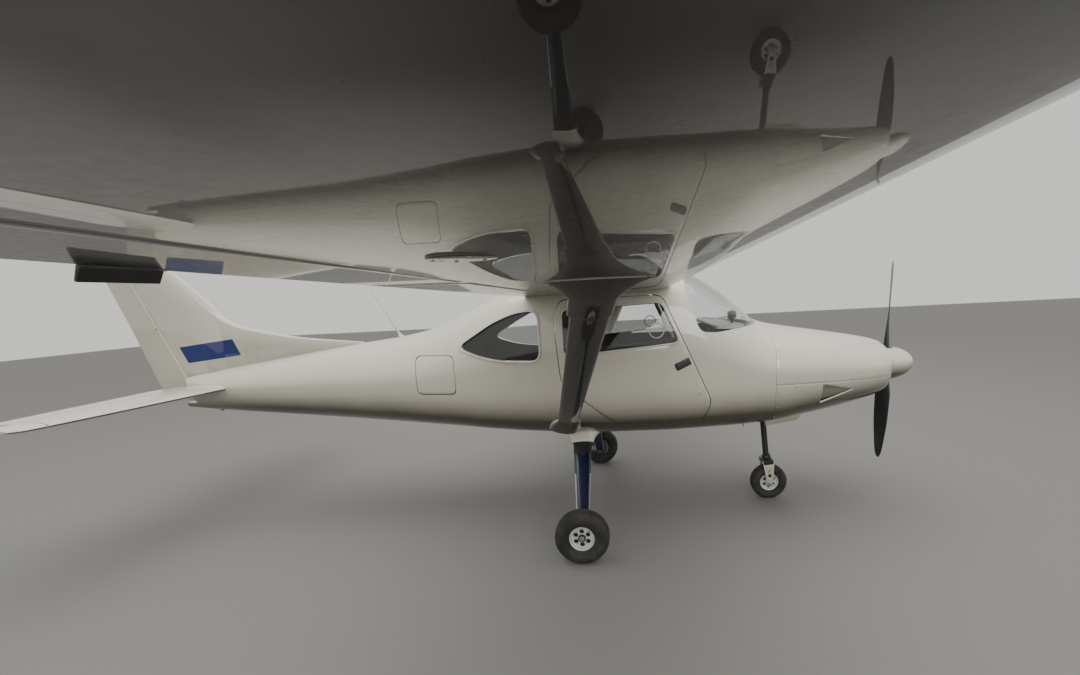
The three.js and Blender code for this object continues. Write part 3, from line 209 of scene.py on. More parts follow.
def plate(outline, place, travel, name="plate"):
    """A plate: a disc whose rim is moved to an outline, then extruded. place turns (a, b) into a point."""
    start_fresh()
    bpy.ops.mesh.primitive_circle_add(vertices=len(outline), radius=1, fill_type="NGON")
    piece = named(bpy.context.object, name)
    for vertex, point in zip(piece.data.vertices, outline):
        vertex.co = place(point)
    extrude = (bpy.ops.mesh.extrude_region_move, {"TRANSFORM_OT_translate": {"value": travel}})
    reshape(extrude, FACE_OUTWARDS)
    return piece


def side_plate(outline, near_y, far_y, name="plate"):
    return plate(outline, lambda p: (p[0], near_y, p[1]), (0, far_y - near_y, 0), name)


def front_plate(outline, near_x, far_x):
    return plate(outline, lambda p: (near_x, p[0], p[1]), (far_x - near_x, 0, 0))


def block(low, high, name="block"):
    size = [h - l for l, h in zip(low, high)]
    middle = [(h + l) / 2 for l, h in zip(low, high)]
    start_fresh()
    bpy.ops.mesh.primitive_cube_add(size=1, location=middle, scale=size)
    return named(settle(bpy.context.object), name)


def side_block(side, low, high):
    """A block given by its corners on the left side, or its mirror where side is -1."""
    near, far = sorted((side * low[1], side * high[1]))
    return block((low[0], near, low[2]), (high[0], far, high[2]))


def rod(start, end, radius, end_radius=None, sides=32, easing=0.0, name="rod"):
    """A round bar between two points, with eased rims."""
    start, end = Vector(start), Vector(end)
    along = end - start
    end_radius = radius if end_radius is None else end_radius
    start_fresh()
    bpy.ops.mesh.primitive_cone_add(
        vertices=sides, radius1=radius, radius2=end_radius, depth=along.length, end_fill_type="NGON"
    )
    piece = named(bpy.context.object, name)
    piece.rotation_mode = "QUATERNION"
    piece.rotation_quaternion = along.to_track_quat("Z", "Y")
    piece.location = (start + end) / 2
    settle(piece)
    return soften(piece, easing) if easing else piece


def spun(profile, centre, axis=PORT, steps=64, name="ring"):
    """A closed profile of (radius, distance along the axis) points, spun all the way round."""
    axis, centre = Vector(axis).normalized(), Vector(centre)
    out = axis.orthogonal().normalized()
    start_fresh()
    bpy.ops.mesh.primitive_circle_add(vertices=len(profile), radius=1, fill_type="NOTHING")
    piece = named(bpy.context.object, name)
    for vertex, (radius, height) in zip(piece.data.vertices, profile):
        vertex.co = centre + out * radius + axis * height
    reshape(
        (bpy.ops.mesh.spin, {"steps": steps, "angle": FULL_TURN, "center": centre, "axis": axis}),
        (bpy.ops.mesh.remove_doubles, {"threshold": 1e-5}),
        (bpy.ops.mesh.dissolve_degenerate, {"threshold": 1e-5}),
        FACE_OUTWARDS,
    )
    return piece


def with_modifier(piece, kind, **settings):
    pick(piece)
    modifier = piece.modifiers.new(kind.lower(), kind)
    for setting, value in settings.items():
        setattr(modifier, setting, value)
    bpy.ops.object.modifier_apply(modifier=modifier.name)
    return piece


def soften(piece, width, angle=50, segments=2):
    """Eases the edges of a piece that are sharper than an angle in degrees."""
    limit = {"limit_method": "ANGLE", "angle_limit": math.radians(angle), "use_clamp_overlap": True}
    return with_modifier(piece, "BEVEL", width=width, segments=segments, **limit)


def discard(*pieces):
    for piece in pieces:
        bpy.data.objects.remove(piece)


def carve(piece, *cutters, operation="DIFFERENCE", keep=False):
    """Cuts a piece by others and uses them up."""
    for cutter in cutters:
        with_modifier(piece, "BOOLEAN", operation=operation, solver="EXACT", object=cutter)
        if not keep:
            discard(cutter)
    return piece


def trim_to(piece, *forms):
    """Keeps what a piece shares with each form."""
    return carve(piece, *forms, operation="INTERSECT")


def fuse(piece, *others):
    return carve(piece, *others, operation="UNION")


def copy_of(piece, name="copy"):
    twin = piece.copy()
    twin.data = piece.data.copy()
    bpy.context.scene.collection.objects.link(twin)
    return named(twin, name)


def on_other_side(piece, name=None):
    """The same piece mirrored to the other side of the aircraft, from left to right by name."""
    twin = copy_of(piece, name or piece.name.replace("_left", "_right"))
    pick(twin)
    mirror = {"value": (1, -1, 1), "center_override": (0, 0, 0)}
    reshape((bpy.ops.transform.resize, mirror), (bpy.ops.mesh.flip_normals, {}))
    return twin


def gathered(name, pieces):
    """Several shapes made one piece."""
    pick(pieces[0])
    for piece in pieces:
        piece.select_set(True)
    bpy.ops.object.join()
    return named(bpy.context.object, name)


def dress(piece, body, material, *replaced, slot=None, angle=35):
    """Gives a finished piece its shading, its finish and the body that it rides on."""
    pick(piece)
    bpy.ops.object.shade_smooth_by_angle(angle=math.radians(angle))
    piece.data.materials.clear()
    piece.data.materials.append(material)
    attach(piece, body)
    if replaced:
        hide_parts(*replaced)
    return piece


def dress_pair(left, body, material, *replaced, **settings):
    """Mirrors a piece of the left side and dresses both. A body or node with "left" in it is changed too."""
    right = on_other_side(left)
    for piece, label in ((left, "left"), (right, "right")):
        nodes = [node.replace("left", label) for node in replaced]
        dress(piece, body.replace("left", label), material, *nodes, **settings)


def smooth_curve(places, values):
    """A curve through values at rising places that never overshoots them."""
    steps = [b - a for a, b in zip(places, places[1:])]
    slopes = [(b - a) / h for a, b, h in zip(values, values[1:], steps)]
    tangents = [slopes[0]]
    for k in range(1, len(slopes)):
        before, after = slopes[k - 1], slopes[k]
        if before * after <= 0:
            tangents.append(0.0)
        else:
            first, second = 2 * steps[k] + steps[k - 1], steps[k] + 2 * steps[k - 1]
            tangents.append((first + second) / (first / before + second / after))
    tangents.append(slopes[-1])

    def at(place):
        k = 0
        while k < len(steps) - 1 and place > places[k + 1]:
            k += 1
        h = steps[k]
        t = (place - places[k]) / h
        return (
            (1 + 2 * t) * (1 - t) ** 2 * values[k]
            + t * (1 - t) ** 2 * h * tangents[k]
            + t * t * (3 - 2 * t) * values[k + 1]
            + t * t * (t - 1) * h * tangents[k + 1]
        )

    return at


def table_row(rows):
    """A function that gives all the values of a table, on smooth curves, at a place in its first column."""
    rows = sorted(rows)
    places = [row[0] for row in rows]
    curves = [smooth_curve(places, column) for column in list(zip(*rows))[1:]]
    return lambda place: [curve(place) for curve in curves]


def between(start, end, count):
    return [start + (end - start) * k / count for k in range(count + 1)]


def ring_steps(count, start=0.0):
    """The cosine and sine of evenly spaced turns, the first of them a share of a step on."""
    turns = [(k + start) / count * FULL_TURN for k in range(count)]
    return [(math.cos(turn), math.sin(turn)) for turn in turns]


# Finishes


class Graph:
    """A tree of shader nodes, added and wired by short calls."""

    def __init__(self, tree, place=None):
        self.tree, self.place = tree, place

    def wire(self, node, inputs):
        """Sets inputs, or links them where the value is another node's output."""
        for socket, value in inputs.items():
            if isinstance(value, bpy.types.NodeSocket):
                self.tree.links.new(value, node.inputs[socket])
            else:
                node.inputs[socket].default_value = value

    def add(self, kind, inputs, **settings):
        node = self.tree.nodes.new(f"ShaderNode{kind}")
        for setting, value in settings.items():
            setattr(node, setting, value)
        self.wire(node, inputs)
        return node.outputs

    def math(self, operation, first, second=0.0, clamp=False):
        return self.add("Math", {0: first, 1: second}, operation=operation, use_clamp=clamp)[0]

    def within(self, value, low, high):
        """1 where a value lies between two others, 0 elsewhere."""
        above, below = self.math("GREATER_THAN", value, low), self.math("LESS_THAN", value, high)
        return self.math("MULTIPLY", above, below)

    def mix(self, share, first, second):
        colors = [(*color, 1) if isinstance(color, tuple) else color for color in (first, second)]
        return self.add("Mix", {0: share, 6: colors[0], 7: colors[1]}, data_type="RGBA")[2]

    def noise(self, scale, detail=4.0, roughness=0.5, place=None, distortion=0.0):
        inputs = {"Vector": place or self.place, "Scale": scale, "Detail": detail, "Roughness": roughness}
        return self.add("TexNoise", {**inputs, "Distortion": distortion})["Fac"]

    def spread(self, value, low, high, from_low=0.0, from_high=1.0):
        ends = {"From Min": from_low, "From Max": from_high, "To Min": low, "To Max": high}
        return self.add("MapRange", {"Value": value, **ends})[0]

    def axis(self, index, vector=None):
        return self.add("SeparateXYZ", {0: vector or self.place})[index]


class Finish(Graph):
    """A material whose patterns follow the piece by its Object coordinates."""

    def __init__(self, name, color, roughness, metallic=0.0, **constants):
        self.material = bpy.data.materials.new(name)
        self.material.use_nodes = True
        super().__init__(self.material.node_tree)
        self.shader = self.tree.nodes["Principled BSDF"]
        self.place = self.add("TexCoord", {})["Object"]
        self.show(Base_Color=(*color, 1), Roughness=roughness, Metallic=metallic, **constants)

    def show(self, **inputs):
        """Sets or links inputs of the shader, with _ for a space in their names."""
        self.wire(self.shader, {socket.replace("_", " "): value for socket, value in inputs.items()})
        return self

    def worn(self, scale, dust):
        """The shared dust and scuffs, at this material's own scale."""
        return self.add("Group", {"Place": self.place, "Scale": scale, "Dust": dust}, node_tree=HANDLING)

    def bump(self, height, strength, distance):
        inputs = {"Strength": strength, "Distance": distance, "Height": height}
        return self.show(Normal=self.add("Bump", inputs)["Normal"])


def make_handling():
    """Dust that gathers in cloudy patches, and fine hairline scuffs."""
    tree = bpy.data.node_groups.new("handling", "ShaderNodeTree")
    inputs = [("Place", "INPUT", "Vector"), ("Scale", "INPUT", "Float"), ("Dust", "INPUT", "Float")]
    for name, way, kind in [*inputs, ("Dust", "OUTPUT", "Float"), ("Scuffs", "OUTPUT", "Float")]:
        tree.interface.new_socket(name, in_out=way, socket_type=f"NodeSocket{kind}")
    into = tree.nodes.new("NodeGroupInput").outputs
    graph = Graph(tree, into["Place"])
    cloud = graph.noise(into["Scale"], 8.0, 0.62)
    dust = graph.math("MULTIPLY", graph.spread(cloud, 0.0, 1.0, 0.38, 0.8), into["Dust"])
    scuffs = graph.noise(graph.math("MULTIPLY", into["Scale"], 34.0), 3.0, distortion=1.5)
    graph.wire(tree.nodes.new("NodeGroupOutput"), {"Dust": dust, "Scuffs": scuffs})
    return tree


HANDLING = make_handling()


def gelcoat_finish(name, painted_shade_color, painted_shade_share, shine, coat=1.0, stripe=None):
    """Glossy moulded composite: faint waves from the mould, dust, and painted shade that makes the colour
    duller and darker where the surface faces down.
    """
    color = (0.80, 0.765, 0.67)
    gloss = {"Coat_Weight": coat, "Coat_Roughness": 0.015, "Coat_IOR": shine, "Specular_IOR_Level": 0.2}
    finish = Finish(name, color, 0.3, **gloss)
    worn = finish.worn(1.3, 0.2)
    upward = finish.axis(2, finish.add("NewGeometry", {})["Normal"])
    # Painted shade: a mask that grows as the surface turns to face downwards
    under = finish.spread(upward, painted_shade_share, 0.0, -0.6, 0.25)
    # Dust and the painted shade both draw the paint towards the shade colour
    dust_and_shade = finish.math("ADD", finish.math("MULTIPLY", worn["Dust"], 0.5), under, clamp=True)
    paint = finish.mix(dust_and_shade, color, painted_shade_color)
    if stripe:
        paint = finish.mix(stripe(finish), paint, (0.010, 0.024, 0.145))
    finish.show(Base_Color=paint, Roughness=finish.spread(worn["Scuffs"], 0.27, 0.35, 0.3, 0.8))
    return finish.bump(finish.noise(1.6, 0.0), 0.10, 0.012).material


def worn_finish(name, color, dusty, roughness, gloss, scale, dust=0.5, metallic=0.0, **constants):
    """A finish with dusty patches of another colour, and scuffs that change its roughness."""
    finish = Finish(name, color, roughness, metallic, **constants)
    worn = finish.worn(scale, dust)
    rough = finish.spread(worn["Scuffs"], *gloss, 0.3, 0.7)
    finish.show(Base_Color=finish.mix(worn["Dust"], color, dusty), Roughness=rough)
    return finish, worn


def lighter(color, gain, lift):
    return tuple(min(1, channel * gain + lift) for channel in color)


def painted_metal_finish(name, color, roughness=0.4, metallic=0.0):
    gloss = (roughness * 0.7, roughness * 1.35)
    dusty = lighter(color, 1.8, 0.03)
    finish, worn = worn_finish(name, color, dusty, roughness, gloss, 9.0, metallic=metallic, Coat_Weight=0.15)
    return finish.bump(worn["Scuffs"], 0.08, 0.0006).material


def metal_finish(name, color, roughness, grain=(1, 1, 1)):
    """Bare metal with a fine drawn grain and dull patches."""
    finish = Finish(name, color, roughness, 1.0)
    along = finish.add("Mapping", {"Vector": finish.place, "Scale": grain})[0]
    drawn = finish.noise(160.0, 3.0, 0.6, along)
    paint = finish.mix(finish.worn(7.0, 0.6)["Dust"], color, tuple(channel * 0.55 for channel in color))
    rough = finish.spread(drawn, roughness * 0.75, roughness * 1.5, 0.3, 0.7)
    return finish.show(Base_Color=paint, Roughness=rough).bump(drawn, 0.12, 0.0005).material


def clear_finish(name):
    """Clear acrylic with a trace of dust in the gloss."""
    finish = Finish(name, (0.93, 0.95, 0.95), 0.02, IOR=1.46, Transmission_Weight=1.0)
    return finish.show(Roughness=finish.spread(finish.worn(5.0, 0.5)["Dust"], 0.0, 0.07)).material


def lens_finish(name, color):
    """Coloured clear plastic over a lamp."""
    dusty, coat = tuple(channel * 0.6 for channel in color), {"Coat_Weight": 1.0, "Coat_Roughness": 0.02}
    return worn_finish(name, color, dusty, 0.1, (0.05, 0.2), 12.0, **coat)[0].material


def rubber_finish():
    black, dusty = (0.02, 0.02, 0.021), (0.085, 0.08, 0.072)
    finish, worn = worn_finish("tyre_rubber", black, dusty, 0.82, (0.68, 0.92), 11.0, 0.8)
    return finish.bump(worn["Scuffs"], 0.25, 0.0012).material


def grained_finish(name, color, roughness=0.62, scale=420.0):
    """Moulded trim with a pebbled grain."""
    gloss = (roughness * 0.8, roughness * 1.2)
    finish, _ = worn_finish(name, color, lighter(color, 1.5, 0.015), roughness, gloss, 6.0)
    cells = finish.add("TexVoronoi", {"Vector": finish.place, "Scale": scale})
    return finish.bump(cells["Distance"], 0.35, 0.0008).material


def cloth_finish(name, color, thread=900.0):
    """Woven seat cloth: two crossed sets of threads, with a soft sheen."""
    finish = Finish(name, color, 0.9, Sheen_Weight=0.35, Sheen_Roughness=0.5)
    threads = {"Scale": thread / 20, "Distortion": 0.6, "Vector": finish.place}
    warp, weft = (finish.add("TexWave", threads, bands_direction=way)["Fac"] for way in ("Y", "DIAGONAL"))
    weave = finish.math("MULTIPLY", warp, weft)
    blotch = finish.math("MULTIPLY", finish.noise(14.0, 5.0), 0.4)
    shade = finish.math("ADD", finish.math("MULTIPLY", weave, 0.6), blotch)
    paint = finish.mix(shade, color, lighter(color, 1.7, 0.01))
    return finish.show(Base_Color=paint).bump(weave, 0.5, 0.0006).material


def blade_finish():
    """The dark blue glossy spring leg, paler along its two edges."""
    blue, dusty, pale = (0.005, 0.009, 0.036), (0.014, 0.020, 0.055), (0.42, 0.44, 0.48)
    finish = Finish("spring_leg", blue, 0.2, Coat_Weight=0.6, Coat_Roughness=0.05)
    worn = finish.worn(8.0, 0.5)
    middle = finish.math("SUBTRACT", 0.768, finish.math("MULTIPLY", finish.axis(2), 0.0433))
    fore = finish.math("ABSOLUTE", finish.math("SUBTRACT", finish.axis(0), middle))
    half_width = finish.spread(finish.axis(2), 0.0335, 0.0625, 0.139, 0.76)
    below_sleeve = finish.math("LESS_THAN", finish.axis(2), 0.48)
    edge = finish.math("MULTIPLY", finish.math("GREATER_THAN", fore, half_width), below_sleeve)
    paint = finish.mix(edge, finish.mix(worn["Dust"], blue, dusty), pale)
    rough = finish.spread(worn["Scuffs"], 0.14, 0.34, 0.3, 0.7)
    return finish.show(Base_Color=paint, Roughness=rough).bump(worn["Scuffs"], 0.06, 0.0006).material


def fin_band(finish):
    """A plain slanted band across the foot of the fin, its ends parallel to the rudder's hinge."""
    across = finish.math("ADD", finish.axis(0), finish.math("MULTIPLY", finish.axis(2), 0.376))
    height = finish.math("SUBTRACT", finish.axis(2), finish.math("MULTIPLY", finish.axis(0), 0.10))
    return finish.math("MULTIPLY", finish.within(across, -2.095, -1.600), finish.within(height, 1.588, 1.728))


# Painted shade colours for the gelcoats' downward-facing surfaces, darkest on the wing and strut
BODY_SHADE, WING_SHADE = (0.065, 0.058, 0.040), (0.018, 0.016, 0.011)
GELCOAT = gelcoat_finish("gelcoat", BODY_SHADE, 1.0, 1.6)
FIN_GELCOAT = gelcoat_finish("gelcoat_fin", BODY_SHADE, 1.0, 1.6, stripe=fin_band)
WING_GELCOAT = gelcoat_finish("gelcoat_wing", WING_SHADE, 1.25, 2.0, 0.65)
CLEAR = clear_finish("clear_acrylic")
DARK_BLADE = painted_metal_finish("dark_blade", (0.016, 0.017, 0.02), 0.28)
SATIN_BLACK = painted_metal_finish("satin_black", (0.014, 0.014, 0.015), 0.42)
PALE_METAL = metal_finish("wheel_metal", (0.78, 0.79, 0.80), 0.34)
CAST_METAL = metal_finish("cast_metal", (0.38, 0.385, 0.39), 0.55)
STEEL = metal_finish("plain_steel", (0.56, 0.565, 0.57), 0.3, (1, 6, 6))
# Cast iron for the brake discs, darkened below its own colour as painted shade on the wheels' inboard side
SHADED_IRON = metal_finish("cast_iron_and_shade", (0.13, 0.13, 0.135), 0.5)
RUBBER = rubber_finish()
TRIM = grained_finish("dark_trim", (0.035, 0.036, 0.04))
PALE_TRIM = grained_finish("pale_trim", (0.46, 0.455, 0.44), 0.5)
DARK_GLOSS = painted_metal_finish("dark_gloss", (0.010, 0.011, 0.013), 0.16)
WHEEL_PAINT = painted_metal_finish("wheel_paint", (0.66, 0.665, 0.67), 0.32, 0.35)
LINING = grained_finish("cabin_lining", (0.20, 0.195, 0.185), 0.8, 300.0)
CARPET = cloth_finish("cabin_carpet", (0.035, 0.036, 0.04), 500.0)
SEAT_CLOTH = cloth_finish("seat_cloth", (0.055, 0.06, 0.075))
SEAT_PIPING = cloth_finish("seat_piping", (0.16, 0.165, 0.18), 1400.0)
WEBBING = cloth_finish("belt_webbing", (0.025, 0.026, 0.03), 1600.0)
RED_LENS = lens_finish("red_lens", (0.45, 0.012, 0.012))
GREEN_LENS = lens_finish("green_lens", (0.012, 0.30, 0.07))
SPRING_LEG = blade_finish()

# The finishes that stand for each slot of the record. The first is for solids that still show.
SLOTS = {
    "gelcoat": (GELCOAT, FIN_GELCOAT, WING_GELCOAT),
    "window": (CLEAR, RED_LENS, GREEN_LENS),
    "dark_composite": (DARK_BLADE,),
    "leg_composite": (SPRING_LEG,),
    "black_metal": (SATIN_BLACK,),
    "wheel_metal": (PALE_METAL, WHEEL_PAINT),
    "engine_metal": (CAST_METAL,),
    "steel": (STEEL, SHADED_IRON),
    "tyre": (RUBBER,),
    "seat_cloth": (SEAT_CLOTH, SEAT_PIPING, WEBBING),
    "trim": (TRIM, PALE_TRIM, DARK_GLOSS, LINING, CARPET),
}


# Fuselage

RIB_POINTS = 112
HULL = table_row(SECTIONS)
rib_store = {}


def quarter_points(width, height, squareness, count):
    """Points on one quarter of a section, evenly spaced from its side to its top or bottom."""
    power = 2 / squareness
    dense = []
    for k in range(161):
        angle = k / 160 * math.pi / 2
        dense.append(Vector((math.cos(angle) ** power * width, math.sin(angle) ** power * height)))
    lengths = [0.0]
    for a, b in zip(dense, dense[1:]):
        lengths.append(lengths[-1] + (b - a).length)
    points, k = [], 0
    for goal in between(0, lengths[-1], count):
        while k < len(dense) - 2 and lengths[k + 1] < goal:
            k += 1
        share = (goal - lengths[k]) / max(1e-9, lengths[k + 1] - lengths[k])
        points.append(dense[k].lerp(dense[k + 1], share))
    return points


def rib_at(x, inset=0.0):
    """The fuselage's section at a station, as a closed ring of evenly spaced points."""
    key = (round(x, 5), round(inset, 5))
    if key not in rib_store:
        half, bottom, waist, top, above, below = HULL(x)
        upper = quarter_points(half - inset, top - waist - inset, above, RIB_POINTS // 4)
        lower = quarter_points(half - inset, waist - bottom - inset, below, RIB_POINTS // 4)
        ring = [(p.x, waist + p.y) for p in upper]
        ring += [(-p.x, waist + p.y) for p in reversed(upper[:-1])]
        ring += [(-p.x, waist - p.y) for p in lower[1:]]
        ring += [(p.x, waist - p.y) for p in reversed(lower[1:-1])]
        rib_store[key] = [Vector((x, y, z)) for y, z in ring]
    return rib_store[key]


def hull(from_x, to_x, inset=0.0, spacing=0.036, name="hull"):
    count = max(2, round(abs(from_x - to_x) / spacing))
    return skin_over([rib_at(x, inset) for x in between(from_x, to_x, count)], name)


def cabin_form(rear_x=0.2, inset=0.004, front_x=1.2):
    """The cabin's outer shape, to cut back what runs into it."""
    return hull(front_x, rear_x, inset, 0.05)


def skin_y(x, z):
    """The half width of the skin at a station and height."""
    half, bottom, waist, top, above, below = HULL(x)
    reach = top - waist if z > waist else waist - bottom
    power = above if z > waist else below
    return half * (1 - min(1, abs(z - waist) / reach) ** power) ** (1 / power)


def side_cut(outline, margin, radius, side=-1):
    return side_plate(rounded(grown(outline, margin), radius), side * 0.30, side * 0.72)


def windscreen_cut(margin=0.0):
    outline = grown(WINDSCREEN, margin) if margin else WINDSCREEN
    return side_plate(rounded(outline, WINDSCREEN_ROUNDING), -0.7, 0.7)


def shell_band(from_x, to_x, outer, inner, spacing=0.036, name="band"):
    """A layer that follows the skin between two depths. A depth below zero is proud of it."""
    room = hull(from_x + 0.01, to_x - 0.01, inner, spacing)
    return carve(hull(from_x, to_x, outer, name=name), room)


def side_piece(band, name, outline, margin, radius, side):
    """What a band holds inside a side outline."""
    return trim_to(copy_of(band, name), side_cut(outline, margin, radius, side))


def make_fuselage():
    body = hull(FIREWALL_X, BOOM_END_X, name="fuselage_skin")
    carve(body, hull(FIREWALL_X - 0.025, CABIN_REAR_X + 0.02, CABIN_WALL, 0.05))
    for side, _ in SIDES:
        carve(
            body,
            side_cut(DOOR_OUTLINE, DOOR_GAP / 2, DOOR_ROUNDING, side),
            side_cut(REAR_WINDOW, 0.0, REAR_WINDOW_ROUNDING, side),
        )
    rudder_room = rudder_nose(RUDDER_FOOT_Z - 0.012, FIN_HORN_Z, RUNNING_GAP)
    hatch_hole = side_cut(HATCH_OUTLINE, DOOR_GAP / 2, HATCH_ROUNDING)
    carve(body, hatch_hole, windscreen_cut(), behind_rudder_hinge(), rudder_room)
    dress(soften(body, 0.0014, 55), "airframe", GELCOAT, "cabin_shell", "tail_boom")


def make_doors():
    wall = shell_band(1.72, 0.55, 0.0, CABIN_WALL, spacing=0.05)
    pane = shell_band(1.60, 0.60, 0.004, 0.009)
    for side, label in SIDES:
        skin = side_piece(wall, f"door_skin_{label}", DOOR_OUTLINE, -DOOR_GAP / 2, DOOR_ROUNDING, side)
        carve(skin, side_cut(DOOR_WINDOW, 0.0, DOOR_WINDOW_ROUNDING, side))
        dress(soften(skin, 0.003, 55), f"door_{label}", GELCOAT, f"door_{label}")
        glass = side_piece(pane, f"door_pane_{label}", DOOR_WINDOW, -0.0004, DOOR_WINDOW_ROUNDING, side)
        dress(glass, f"door_{label}", CLEAR, f"door_glass_{label}")
    discard(wall, pane)


def make_fixed_glass():
    pane = shell_band(FIREWALL_X, CABIN_REAR_X, 0.004, 0.009)
    for side, label in SIDES:
        glass = side_piece(pane, f"rear_pane_{label}", REAR_WINDOW, -0.0004, REAR_WINDOW_ROUNDING, side)
        dress(glass, "airframe", CLEAR, f"rear_window_{label}")
    screen = named(pane, "windscreen_pane")
    trim_to(screen, windscreen_cut(-0.0004), block((1.4, -0.7, 1.3), (FIREWALL_X - 0.002, 0.7, 2.0)))
    dress(screen, "airframe", CLEAR, "windscreen")


def make_hatch():
    wall = shell_band(-0.05, -0.56, 0.0, CABIN_WALL, spacing=0.05, name="hatch_skin")
    trim_to(wall, side_cut(HATCH_OUTLINE, -DOOR_GAP / 2, HATCH_ROUNDING))
    dress(soften(wall, 0.002, 55), "baggage_door", GELCOAT, "baggage_hatch")


# Wing

AIRFOIL_STEPS, AIRFOIL_CAMBER, AIRFOIL_CAMBER_AT = 34, 0.03, 0.4


def airfoil_half(share, thickness=WING_DEPTH):
    root = 0.2969 * math.sqrt(share)
    rest = -0.126 * share - 0.3516 * share**2 + 0.2843 * share**3 - 0.1036 * share**4
    return 5 * thickness * (root + rest) + 0.0025 * share


def camber_line(share, camber=AIRFOIL_CAMBER):
    peak = AIRFOIL_CAMBER_AT
    if share < peak:
        return camber / peak**2 * (2 * peak * share - share**2)
    return camber / (1 - peak) ** 2 * (1 - 2 * peak + 2 * peak * share - share**2)


def airfoil(thickness, camber=0):
    """Upper points from the trailing edge to the nose, then lower points back."""
    shares = [(1 + math.cos(k / AIRFOIL_STEPS * math.pi)) / 2 for k in range(AIRFOIL_STEPS + 1)]
    upper = [(s, camber_line(s, camber) + airfoil_half(s, thickness)) for s in shares]
    lower = [(s, camber_line(s, camber) - airfoil_half(s, thickness)) for s in shares]
    return upper + lower[:-1][::-1]


# y, chord, leading edge behind the root's, thickness as a share of the chord, lift of the tip
WING_STATIONS = [
    (0.430, 1.000, 0.000, 0.125, 0.000),
    (4.380, 1.000, 0.000, 0.125, 0.000),
    (4.600, 0.945, 0.035, 0.118, 0.002),
    (4.740, 0.820, 0.115, 0.100, 0.012),
    (4.800, 0.640, 0.220, 0.070, 0.026),
]


def wing_point(share, height, y, chord=WING_CHORD, back=0.0, lift=0.0):
    along, up = (share - 0.25) * chord, height * chord
    turned_along = along * math.cos(WING_INCIDENCE) + up * math.sin(WING_INCIDENCE)
    turned_up = up * math.cos(WING_INCIDENCE) - along * math.sin(WING_INCIDENCE)
    rise = (y - WING_ROOT_Y) * math.tan(WING_DIHEDRAL) + lift
    x = WING_LEADING_X - back - 0.25 * chord - turned_along
    return Vector((x, y, WING_CHORD_LINE_Z + turned_up + rise))


def wing_form():
    row = table_row(WING_STATIONS)
    ribs = []
    tip = [4.44, 4.5, 4.56, 4.61, 4.65, 4.69, 4.72, 4.75, 4.775, 4.79, 4.8]
    for y in between(0.430, 4.380, 30) + tip:
        chord, back, thickness, lift = row(y)
        shape = airfoil(thickness, AIRFOIL_CAMBER)
        ribs.append([wing_point(s, h, y, chord, back, lift) for s, h in shape])
    return skin_over(ribs)


HINGE_SHARE = (WING_LEADING_X - WING_HINGE_X) / WING_CHORD
WING_HINGE_RADIUS = airfoil_half(HINGE_SHARE) * WING_CHORD - 0.001


def wing_hinge(y):
    point = wing_point(HINGE_SHARE, camber_line(HINGE_SHARE), WING_ROOT_Y)
    return Vector((point.x, y, point.z + (y - WING_ROOT_Y) * math.tan(WING_DIHEDRAL)))


def behind_wing_hinge(inner, outer, grow=0.0):
    """The room behind the hinge line between two places on the span, and the round nose on that line."""
    rear = block((0.0, inner, 1.5), (wing_hinge(inner).x, outer, 2.1))
    return rear, rod(wing_hinge(inner), wing_hinge(outer), WING_HINGE_RADIUS + grow, sides=64)


def make_wings():
    whole = wing_form()
    wing = copy_of(whole, "wing_skin_left")
    for span in (FLAP_SPAN, AILERON_SPAN):
        carve(wing, *behind_wing_hinge(*span, RUNNING_GAP))
    carve(wing, cabin_form(inset=0.006, front_x=1.6))
    surfaces = [(wing, "airframe", "wing_left")]
    for span, node in ((FLAP_SPAN, "flap_left"), (AILERON_SPAN, "aileron_left")):
        surface = copy_of(whole, node.replace("_", "_skin_"))
        rear, nose = behind_wing_hinge(span[0] + RUNNING_GAP, span[1] - RUNNING_GAP)
        surfaces.append((fuse(trim_to(surface, rear), nose), node, node))
    discard(whole)
    for left, body, node in surfaces:
        dress_pair(soften(left, 0.0015), body, WING_GELCOAT, node)


def make_trim_tab():
    """The bent plate behind the right aileron."""
    edge = wing_point(1, 0, sum(TAB_SPAN) / 2)
    bend = [(0.022, 0), (-0.003, -0.001), (-0.012, -0.022), (-0.008, -0.024), (0.003, -0.006),
            (0.022, -0.004)]
    outline = [(edge.x + x, edge.z + z) for x, z in bend]
    tab = side_plate(outline, -TAB_SPAN[0], -TAB_SPAN[1], "trim_tab")
    # The tab takes the satin black finish as painted shade, though its slot is the gelcoat
    dress(soften(tab, 0.0008, 40), "aileron_right", SATIN_BLACK, slot="gelcoat")


# Struts

# Share of the strut's length, width and thickness against the plain strut's
STRUT_FLARE = [(0.0, 1.75, 3.2), (0.03, 1.55, 2.5), (0.055, 1.35, 1.85), (0.09, 1.0, 1.0), (1.0, 1.0, 1.0)]
NOSE_SHARE, TAIL_SHARE = 0.36, 0.64
CUFF_START, CUFF_END = 0.905, 0.985
CUFF_LONG, CUFF_THICK = 1.13, 1.28
FLANGE_HALF_LENGTH, FLANGE_HALF_WIDTH, FLANGE_THICKNESS = 0.168, 0.056, 0.0028


def stream_ring(centre, along, chord, thickness, points=48):
    """A streamlined section square to a direction, with its long way fore and aft."""
    side = FORE.cross(along).normalized()
    ring = []
    for ahead, across in ring_steps(points):
        reach = ahead * (NOSE_SHARE if ahead > 0 else TAIL_SHARE) * chord
        ring.append(centre + FORE * reach + side * across * thickness / 2)
    return ring


def strut_form(shares, name="strut"):
    along = (STRUT_TOP - STRUT_FOOT).normalized()
    flare = table_row(STRUT_FLARE)
    rings = []
    for share in shares:
        long_way, thick_way = flare(share)
        centre = STRUT_FOOT.lerp(STRUT_TOP, share)
        rings.append(stream_ring(centre, along, STRUT_CHORD * long_way, STRUT_THICKNESS * thick_way))
    return skin_over(rings, name)


